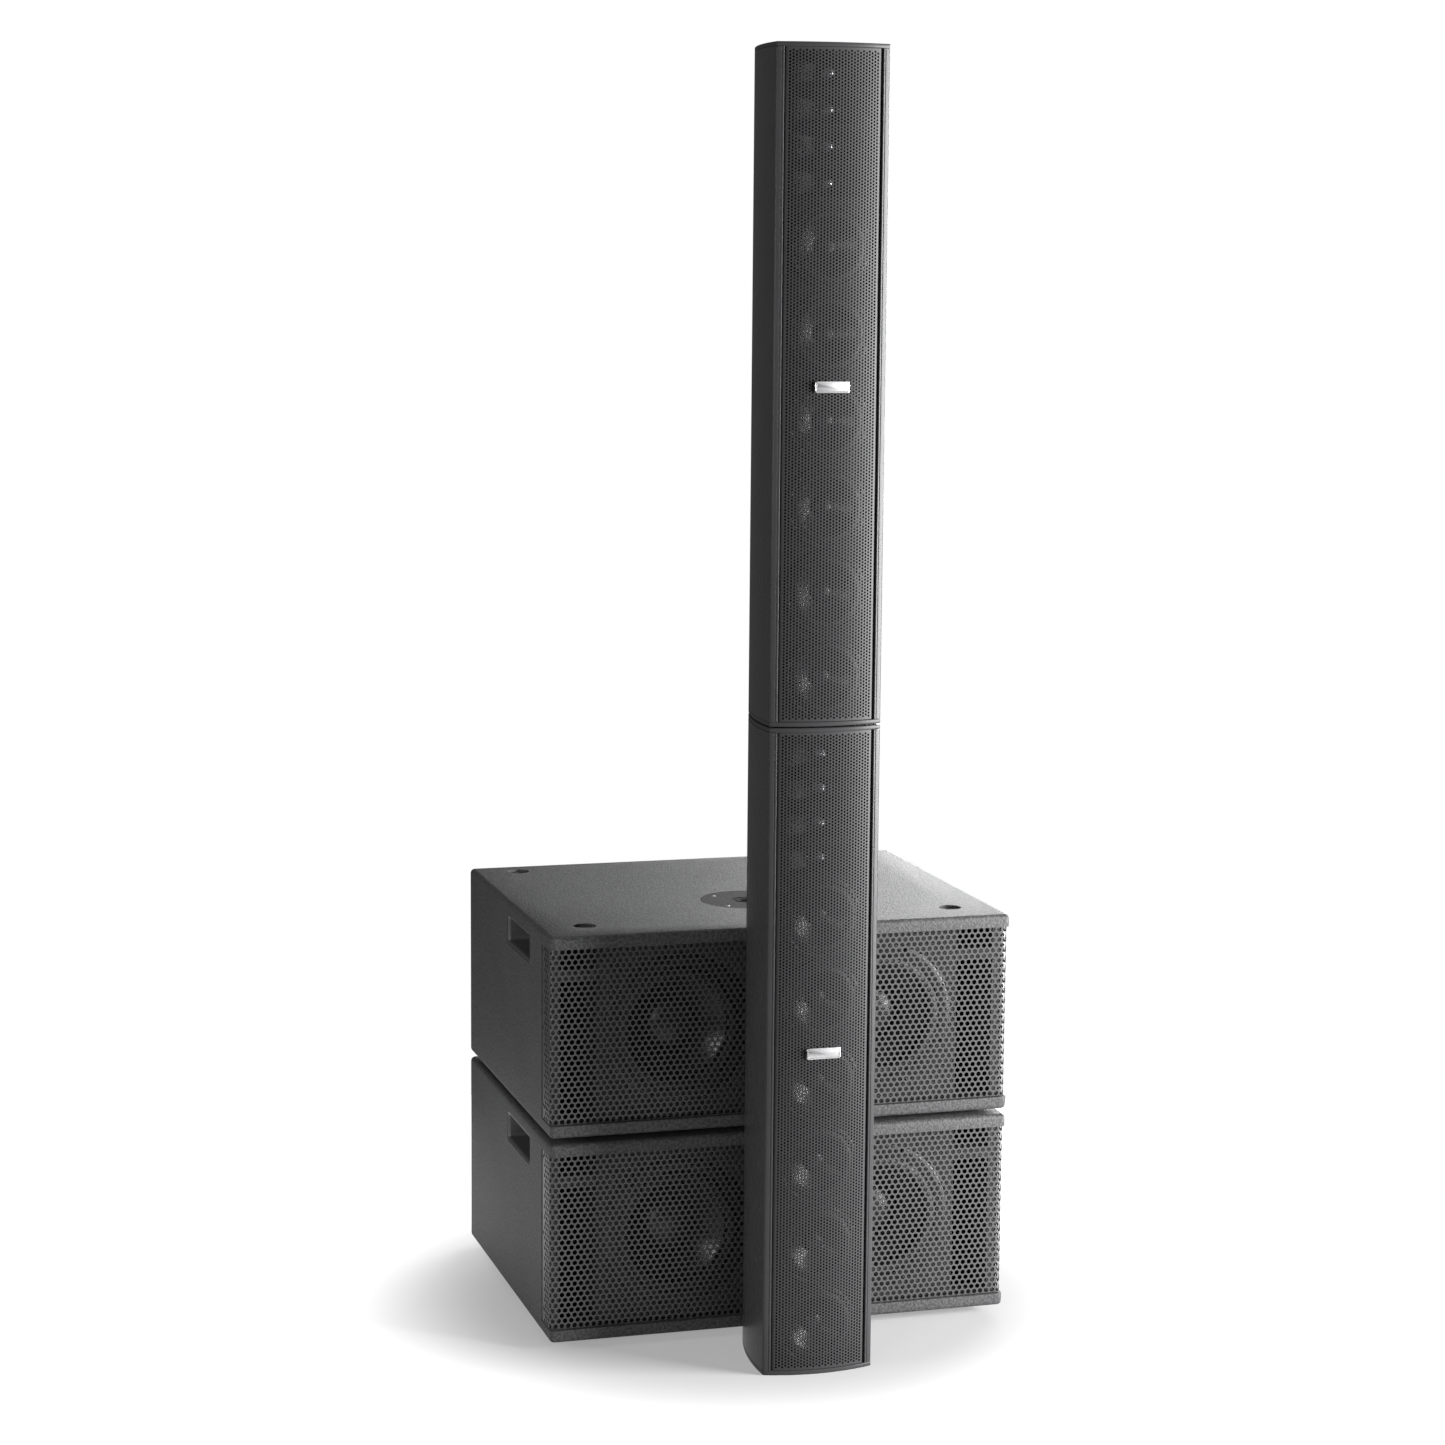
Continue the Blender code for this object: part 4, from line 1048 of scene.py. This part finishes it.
def column_drivers(prefix, place, body):
    """The board of a column unit with its woofers and tweeters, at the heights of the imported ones."""
    woofers = [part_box(f"{prefix}_cone_{k}") for k in range(1, 7)]
    woofer_zs = [(box[0].z + box[1].z) / 2 - place.z for box in woofers]
    low, high = (corner.z - place.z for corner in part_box(f"{prefix}_tweeter_array"))
    first, last = low + TWEETER_HALF[1], high - TWEETER_HALF[1]
    tweeter_zs = [first + (last - first) * s for s in parts_of_one(TWEETER_COUNT - 1)]
    board = column_baffle_mesh(woofer_zs, tweeter_zs)
    add(f"{prefix}_baffle", board, "baffle", place, body, "driver_frame", [f"{prefix}_driver_frame"])
    frame_mesh, magnet, cone, dome, roll = COLUMN["woofer"]
    moving = f"{prefix}_cones"
    reach = 0.707 * WOOFER_SCREW_RING
    frame_screws = []
    for number, z in enumerate(woofer_zs, start=1):
        at = place + Vector((0, 0, z))
        add(f"{prefix}_frame_{number}", frame_mesh, "basket", at, body, "driver_frame")
        add(f"{prefix}_magnet_{number}", magnet, "black_steel", at, body)
        add(f"{prefix}_paper_{number}", cone, "paper", at, moving, "column_cone", [f"{prefix}_cone_{number}"])
        add(f"{prefix}_dust_cap_{number}", dome, "cap_dome", at, moving, "column_cone")
        name = f"{prefix}_surround_{number}"
        add_flexing(name, roll, "rubber", at)
        frame_screws += [(a * reach, 0.0080, z + b * reach) for b in (1, -1) for a in (1, -1)]
    screws(f"{prefix}_woofer_screws", frame_screws, "front", WOOFER_SCREW, place, body)
    horn, driver, plug = COLUMN["tweeter"]
    for number, z in enumerate(tweeter_zs, start=1):
        at = place + Vector((0, 0, z))
        nodes = [f"{prefix}_tweeter_array"] if number == 1 else []
        add(f"{prefix}_horn_{number}", horn, "horn", at, body, "moulded_plastic", nodes)
        add(f"{prefix}_tweeter_driver_{number}", driver, "black_steel", at, body)
        add(f"{prefix}_phase_plug_{number}", plug, "plug", at, body)
    flange = [(a * 0.0590, HORN_Y[0], z + b * 0.0190) for z in tweeter_zs for a in SIDES for b in SIDES]
    screws(f"{prefix}_horn_screws", flange, "front", HORN_SCREW, place, body)
    throat_bolts = [(a * 0.0165, 0.0260, z) for z in tweeter_zs for a in SIDES]
    screws(f"{prefix}_throat_bolts", throat_bolts, "front", THROAT_BOLT, place, body, "zinc")


def column_back(prefix, place, body):
    """The fins and, above them, the control plate."""
    sink, slot = COLUMN["heat_sink"], "rear_panel_aluminium"
    add(f"{prefix}_heat_sink", sink, "rear_panel", place, body, slot, [f"{prefix}_rear_panel"])
    low, high = FINS_TOP + GAP, REAR_PANEL_Z[1]
    y = (COLUMN_DEPTH - WALL, COLUMN_DEPTH)
    mesh = flat_panel("control_plate", REAR_PANEL_HALF, (low, high), y, 0.0015, COLUMN_CONTROLS)
    add(f"{prefix}_control_plate", mesh, "rear_panel", place, body, slot)
    edge = REAR_PANEL_HALF - 0.0045
    heights = (low + 0.006, (low + high) / 2 + 0.02, high - 0.005)
    spots = [(a * edge, COLUMN_DEPTH, z) for a in SIDES for z in heights]
    screws(f"{prefix}_control_plate_screws", spots, "back", PANEL_SCREW, place, body)
    add_controls(prefix, place, body, COLUMN_DEPTH, COLUMN_CONTROLS)


def coupling_pin_mesh(place):
    """A shouldered pin with a bulleted tip, on which the upper unit sits."""
    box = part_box("coupling_left_pin")
    low, tip = box[0].z - place.z, box[1].z - place.z
    shaft = PIN_RADIUS - GAP
    under, over = UNIT_HEIGHT + GAP, UNIT_HEIGHT + 0.002 - GAP
    profile = [(0, low), (shaft - 0.0005, low), (shaft, low + 0.0005), (shaft, under), (0.0086, under)]
    profile += [(0.0090, under + EDGE), (0.0090, over - EDGE), (0.0086, over), (shaft, over)]
    profile += [(shaft, tip - 0.005), (shaft - 0.0006, tip - 0.0025), (0.0038, tip - 0.0006)]
    profile += [(0.0030, tip), (0, tip)]
    return mesh_of("coupling_pin", turned(profile, 40, axis="Z"))


def coupling_pins():
    place = Vector((0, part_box("lower_column_shell")[0].y, 0))
    mesh = coupling_pin_mesh(place)
    for label, side in zip(("left", "right"), SIDES):
        at = place + Vector((side * PIN_SPOT[0], PIN_SPOT[1], 0))
        add(f"coupling_{label}_dowel", mesh, "zinc", at, "root", "zinc_steel", [f"coupling_{label}_pin"])


# Subwoofer


BOARDS_Z = (PLY, SUB_HEIGHT - PLY)
SIDE_BOARD_X = SUB_HALF - PLY
PORT_X = SIDE_BOARD_X - PORT_WIDTH


def carcass_mesh(woofer_x):
    """Plywood box with rounded edges, its front board, slot ports and recesses."""
    box = prism(rectangle((-SUB_HALF, SUB_HALF), (0, SUB_DEPTH)), (0, SUB_HEIGHT))
    bmesh.ops.bevel(box, geom=box.edges[:], offset=ROUND_OVER, segments=5, profile=0.5, affect="EDGES")
    side, front, end = SUB_HALF - SIDE_REBATE, SUB_BAFFLE_Y[0], FLANGE_END_Y + GAP
    cuts = [prism(both_sides([(side, front), (side, end), (SUB_WIDTH, end), (SUB_WIDTH, -PLY)]), BOARDS_Z)]
    board_x = PORT_X - PORT_BOARD
    room = [(board_x, SUB_BAFFLE_Y[1]), (board_x, PORT_END_Y), (PORT_X, PORT_END_Y), (PORT_X, front - WALL)]
    room += [(SIDE_BOARD_X, front - WALL), (SIDE_BOARD_X, SUB_DEPTH - PLY)]
    cuts.append(prism(both_sides(room), BOARDS_Z))
    step, rim = front + SUB_FRAME_REBATE, SUB_FRAME_RADIUS + GAP
    hole = [(0, front - WALL), (rim, front - WALL), (rim, step), (SUB_WOOFER_HOLE, step)]
    hole += [(SUB_WOOFER_HOLE, SUB_BAFFLE_Y[1] + WALL), (0, SUB_BAFFLE_Y[1] + WALL)]
    cuts += [turned(hole, 72, (way * woofer_x, 0, SUB_HEIGHT / 2)) for way in SIDES]
    handle = handle_outline(CUP_WALL + GAP, 0.007)
    cuts += [prism(handle, span(way, SIDE_BOARD_X - WALL, SUB_HALF + WALL), "X") for way in SIDES]
    half = AMP_PANEL_HALF - AMP_WINDOW_MARGIN
    heights = (AMP_PANEL_Z[0] + AMP_WINDOW_MARGIN, AMP_PANEL_Z[1] - AMP_WINDOW_MARGIN)
    window = rectangle((-half, half), heights, 0.004)
    cuts.append(prism(window, (SUB_DEPTH - PLY - WALL, SUB_DEPTH + WALL), "Y"))
    above = SUB_HEIGHT + PLY
    recesses = [circle(spot, FOOT_RADIUS + 0.002, 48) for spot in FOOT_SPOTS]
    cuts += [prism(recess, (SUB_HEIGHT - FOOT_RECESS, above)) for recess in recesses]
    hub, plate = POLE_HUB_RADIUS + GAP, POLE_PLATE_RADIUS + GAP
    under, seat = BOARDS_Z[1] - WALL, SUB_HEIGHT - POLE_PLATE_STEEL - GAP
    pole = ((0, under), (hub, under), (hub, seat), (plate, seat), (plate, above), (0, above))
    cuts.append(turned(pole, 72, (0, POLE_PLATE_Y, 0), "Z"))
    bars = bmesh.new()
    for way in SIDES:
        spread = span(way, PORT_X - WALL, SIDE_BOARD_X + WALL)
        prism(rectangle(spread, (front + GAP, SUB_BAFFLE_Y[1] - GAP)), PORT_BAR_Z, data=bars)
    return carved("carcass", box, cuts, [bars])


def sub_grille_mesh():
    """Perforated sheet over the front, whose ends fold round both sides."""
    outside = SUB_HALF - FLANGE_INSET
    bend = SUB_GRILLE_BEND
    flat = outside - bend
    quarter = bend * math.pi / 2
    length = flat + quarter + FLANGE_END_Y - SUB_GRILLE_Y - bend
    height = BOARDS_Z[1] - BOARDS_Z[0] - 2 * GAP

    def place(points, depth):
        along, up = points[:, 0], points[:, 1]
        reach, side = np.abs(along), np.sign(along)
        turn = np.clip((reach - flat) / bend, 0, math.pi / 2)
        x = np.minimum(reach, flat) + (bend - depth) * np.sin(turn)
        y = SUB_GRILLE_Y + bend - (bend - depth) * np.cos(turn) + np.maximum(reach - flat - quarter, 0)
        return np.stack([x * side, y, up + SUB_HEIGHT / 2], 1)

    field, plain = perforation(2 * length, height, **SUB_HOLES, ends=(0.0105, 0.0))
    knots = [flat + quarter * s for s in parts_of_one(6)]
    plain = split_strips(plain, sorted([-k for k in knots] + knots))
    return sheet_mesh("sub_grille", [field, plain], place, SUB_GRILLE_STEEL)


def sub_woofer_meshes():
    """Cast frame, magnet, cone, dust cap, surround and gasket of a subwoofer's driver, round the origin."""
    rim = mm((90.5, 20), (91.5, 19), (106.2, 19), (107, 19.8), (107, 24.7), (92.5, 24.7))
    basket = mm((92.5, 60), (60, 118), (30, 118), (30, 115), (58, 115), (89.5, 59), (89.5, 26))
    outlines = dict(
        cast=rim + basket,
        magnet=mm((0, 150), (58, 150), (60, 148), (60, 120.5), (58, 118.5), (0, 118.5)),
        cone=cone_outline(35.5, 36.5, 62.5, 33.5, 0.6, 1.4, ((35.5, 90), (34.3, 90), (34.3, 64)), 14),
        dome=dome_outline(36.6, 60.6, 12.6, ((36.6, 62.2), (35, 62.2), (0, 49.5)), 10),
        roll=roll_outline(
            ((90.2, 18.8), (88.8, 18.4)), (80.5, 19), (8, 4.5), ((72.2, 22.5), (71.6, 28.8)), (0.5, 1.2), 10
        ),
        gasket=mm((89.5, 18), (90, 17.4), (98.5, 17.4), (99, 18), (99, 18.9), (92, 18.9)),
    )
    return driver_meshes(outlines, 96)


def handle_outline(grow, radius):
    """The handle's opening in the side board as (y, z), grown all round."""
    ys, zs = ((low - grow, high + grow) for low, high in (HANDLE_Y, HANDLE_Z))
    return rectangle(ys, zs, radius, 6)


def cup_mesh(way):
    """A moulded hand cup in the side board, with a rolled lip."""
    outside, inside = SUB_HALF - GAP, SUB_HALF - HANDLE_DEPTH
    rings = (
        (inside, -0.0060, 0.0040),
        (inside + 0.0010, -0.0040, 0.0050),
        (inside + 0.0060, -0.0028, 0.0055),
        (outside - 0.0045, -0.0018, 0.0060),
        (outside - 0.0026, -0.0014, 0.0061),
        (outside - 0.0010, -0.0004, 0.0063),
        (outside - 0.0002, 0.0010, 0.0066),
        (outside, CUP_WALL - 0.0005, 0.0068),
        (outside - 0.0005, CUP_WALL, 0.0070),
        (inside - CUP_WALL + 0.0010, CUP_WALL - 0.0015, 0.0060),
        (inside - CUP_WALL, CUP_WALL - 0.0030, 0.0050),
    )
    data = loft([[(way * x, y, z) for y, z in handle_outline(grow, radius)] for x, grow, radius in rings])
    return mesh_of("hand_cup", data, 40)


def pole_plate_mesh():
    """Round plate with its hub and blind hole, and the thread turned inside the hole."""
    top, plate = SUB_HEIGHT - GAP, SUB_HEIGHT - POLE_PLATE_STEEL
    floor = top - POLE_HOLE_DEPTH
    end = floor - 0.004
    hole, rim, hub = POLE_HOLE_RADIUS, POLE_PLATE_RADIUS, POLE_HUB_RADIUS
    profile = [(0, floor), (hole, floor)]
    for k in range(THREAD_TURNS):
        z = floor + 0.003 + THREAD_PITCH * k
        profile += [(hole, z), (hole - 0.0008, z + THREAD_PITCH / 2)]
    profile += [(hole, top - 0.0014), (hole + 0.0010, top - 0.0003), (hole + 0.0030, top - 0.0003)]
    profile += [(hole + 0.0034, top - 0.0012), (hub + 0.0010, top - 0.0012), (hub + 0.0016, top)]
    profile += [(rim - 0.0006, top), (rim, top - 0.0006), (rim, plate), (hub, plate), (hub, end), (0, end)]
    return mesh_of("pole_plate", turned(profile, 72, (0, POLE_PLATE_Y, 0), "Z"), 30)


def foot_mesh(height):
    """A moulded rubber foot with a hollow for its screw."""
    hollow, radius = FOOT_HOLLOW - height, FOOT_RADIUS
    profile = [(0, hollow), (0.0055, hollow), (0.0060, -height), (radius - 0.0030, -height)]
    profile += [(radius - 0.0012, -height + 0.0008), (radius - 0.0004, -height + 0.0030)]
    profile += [(radius, -GAP), (0, -GAP)]
    return mesh_of("foot", turned(profile, 40, axis="Z"), 40)


def subwoofer(prefix, woofer_x, meshes):
    """One subwoofer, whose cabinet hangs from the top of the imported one, as that has its feet below."""
    cabinet_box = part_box(f"{prefix}_cabinet")
    place = Vector((0, cabinet_box[0].y, cabinet_box[1].z - SUB_HEIGHT))
    carcass, grille, plate = meshes["carcass"], meshes["grille"], meshes["pole_plate"]
    add(f"{prefix}_carcass", carcass, "paint", place, "root", "textured_paint", [f"{prefix}_cabinet"])
    foot_height = place.z - cabinet_box[0].z
    foot = foot_mesh(foot_height)
    for number, spot in enumerate(FOOT_SPOTS, start=1):
        add(f"{prefix}_foot_{number}", foot, "foot_rubber", place + Vector((*spot, 0)), "root")
    foot_screws = [(*spot, FOOT_HOLLOW - foot_height) for spot in FOOT_SPOTS]
    screws(f"{prefix}_foot_screws", foot_screws, "down", FOOT_SCREW, place, "root", "zinc")
    add(f"{prefix}_front_grille", grille, "sub_grille", place, "root", "grille_steel", [f"{prefix}_grille"])
    for label, way in zip(("left", "right"), SIDES):
        spots = [(way * (SUB_HALF - FLANGE_INSET), GRILLE_SCREW_Y, z) for z in GRILLE_SCREW_Z]
        screws(f"{prefix}_{label}_grille_screws", spots, label, GRILLE_SCREW, place, "root")
        sub_driver(prefix, label, place + Vector((way * woofer_x, 0, SUB_HEIGHT / 2)), meshes["woofer"])
        cup, name = meshes[f"{label}_cup"], f"{prefix}_{label}"
        add(f"{name}_hand_cup", cup, "moulding", place, "root", "handle_plastic", [f"{name}_handle_cup"])
    add(f"{prefix}_pole_socket", plate, "pole_plate", place, "root", "black_steel", [f"{prefix}_pole_plate"])
    ring = circle((0, POLE_PLATE_Y), POLE_SCREW_RING, 8)[1::2]
    spots = [(*spot, SUB_HEIGHT - GAP) for spot in ring]
    screws(f"{prefix}_pole_plate_screws", spots, "up", PLATE_SCREW, place, "root", "zinc")
    sub_back(prefix, place)


def sub_driver(prefix, label, place, meshes):
    cast, magnet, cone, dome, roll, gasket = meshes
    moving = f"{prefix}_cones"
    name = f"{prefix}_{label}"
    add(f"{name}_cast_frame", cast, "basket", place, "root", "cast_basket", [f"{name}_basket"])
    add(f"{name}_magnet", magnet, "black_steel", place, "root")
    add(f"{name}_gasket", gasket, "rubber", place, "root")
    add(f"{name}_paper", cone, "paper", place, moving, "sub_cone", [f"{name}_cone"])
    add(f"{name}_dust_cap", dome, "cap_dome", place, moving, "sub_cone")
    add_flexing(f"{name}_surround", roll, "rubber", place)
    ring = circle((0, 0), FRAME_SCREW_RING, 16)[1::2]
    screws(f"{name}_frame_screws", [(x, 0.0190, z) for x, z in ring], "front", FRAME_SCREW, place, "root")


def sub_back(prefix, place):
    """The amplifier panel with its controls, and the power module behind it."""
    inside = AMP_FACE_Y - AMP_STEEL
    mesh = flat_panel("amp_plate", AMP_PANEL_HALF, AMP_PANEL_Z, (inside, AMP_FACE_Y), 0.004, SUB_CONTROLS)
    add(f"{prefix}_amp_plate", mesh, "amp_panel", place, "root", "amp_aluminium", [f"{prefix}_amp_panel"])
    module = prism(rectangle(*POWER_MODULE, 0.002), (AMP_FACE_Y - 0.060, inside - GAP), "Y", rounding=0.001)
    add(f"{prefix}_power_module", mesh_of("module", module), "zinc", place, "root")
    add_controls(prefix, place, "root", AMP_FACE_Y, SUB_CONTROLS)


def subwoofers():
    """Both subwoofers, from one set of meshes."""
    cone_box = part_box("lower_sub_right_cone")
    woofer_x = (cone_box[0].x + cone_box[1].x) / 2
    meshes = dict(
        carcass=carcass_mesh(woofer_x),
        grille=sub_grille_mesh(),
        woofer=sub_woofer_meshes(),
        left_cup=cup_mesh(-1),
        right_cup=cup_mesh(1),
        pole_plate=pole_plate_mesh(),
    )
    for prefix in ("lower_sub", "upper_sub"):
        subwoofer(prefix, woofer_x, meshes)


# Stage


def area_light(name, spot, target, size, radiance):
    """A softbox of the given radiance, turned towards a point."""
    light = bpy.data.lights.new(name, "AREA")
    light.shape = "RECTANGLE"
    light.size, light.size_y = size
    light.energy = radiance * math.pi * size[0] * size[1]
    obj = bpy.data.objects.new(name, light)
    obj.location = spot
    obj.rotation_euler = (Vector(target) - Vector(spot)).to_track_quat("-Z", "Y").to_euler()
    obj.visible_camera = False
    bpy.context.scene.collection.objects.link(obj)


def stage():
    """A round white floor whose emission carries a painted shadow: dimmer under and round the object, glowing
    white at its rim.
    """
    floor = bpy.data.objects.new("floor", mesh_of("floor", prism(circle((0, 0), *FLOOR), (-0.010, 0.0))))
    paper = bpy.data.materials.new("white_paper_floor")
    paper.use_nodes = True
    tree = paper.node_tree
    shader = set_inputs(tree.nodes["Principled BSDF"], roughness=0.9, specular_ior_level=0.1)
    set_inputs(shader, base_color=(0.25, 0.25, 0.25, 1), emission_color=(1, 1, 1, 1))
    place, distance = new_node(tree, "TexCoord"), new_node(tree, "VectorMath")
    distance.operation = "LENGTH"
    painted_shadow_glow = new_node(tree, "MapRange")
    painted_shadow_glow.interpolation_type = "SMOOTHSTEP"
    # painted shadow: the floor's glow is lowest near the object and rises to white further out, standing in
    # for the object's cast shadow
    set_inputs(painted_shadow_glow, from_min=0.34, from_max=0.66, to_min=0.31, to_max=1.0)
    connect(
        tree,
        (place, "Object", distance, 0),
        (distance, "Value", painted_shadow_glow, "Value"),
        (painted_shadow_glow, "Result", shader, "Emission Strength"),
    )
    floor.data.materials.append(paper)
    bpy.context.scene.collection.objects.link(floor)


def world():
    """White behind everything, and a dimmer even light from all round."""
    made = bpy.data.worlds.new("studio")
    bpy.context.scene.world = made
    made.use_nodes = True
    tree = made.node_tree
    seen = set_inputs(tree.nodes["Background"], color=(1, 1, 1, 1), strength=1.0)
    ambient = new_node(tree, "Background", color=(1, 1, 1, 1), strength=0.08)
    rays, mix = new_node(tree, "LightPath"), new_node(tree, "MixShader")
    connect(
        tree,
        (rays, "Is Camera Ray", mix, "Fac"),
        (ambient, "Background", mix, 1),
        (seen, "Background", mix, 2),
        (mix, "Shader", tree.nodes["World Output"], "Surface"),
    )


def camera():
    """The camera looks ahead, turned right and down, and rolled a little."""
    data = bpy.data.cameras.new("camera")
    data.sensor_width = 36
    data.lens = CAMERA_LENS
    data.clip_start, data.clip_end = 0.1, 200
    obj = bpy.data.objects.new("camera", data)
    heading, dip, roll = (math.radians(a) for a in CAMERA_TURN)
    obj.location = CAMERA_PLACE
    turn = Matrix.Rotation(-heading, 4, "Z") @ Matrix.Rotation(math.pi / 2 - dip, 4, "X")
    obj.rotation_euler = (turn @ Matrix.Rotation(roll, 4, "Z")).to_euler()
    bpy.context.scene.collection.objects.link(obj)
    bpy.context.scene.camera = obj


def main():
    column_unit("lower_column", "root", "top")
    column_unit("upper_column", "upper_column", "bottom")
    coupling_pins()
    subwoofers()
    stage()
    world()
    camera()
    for name, values in LIGHTS.items():
        area_light(name, *values)
    bpy.context.scene.view_settings.view_transform = "Standard"


main()
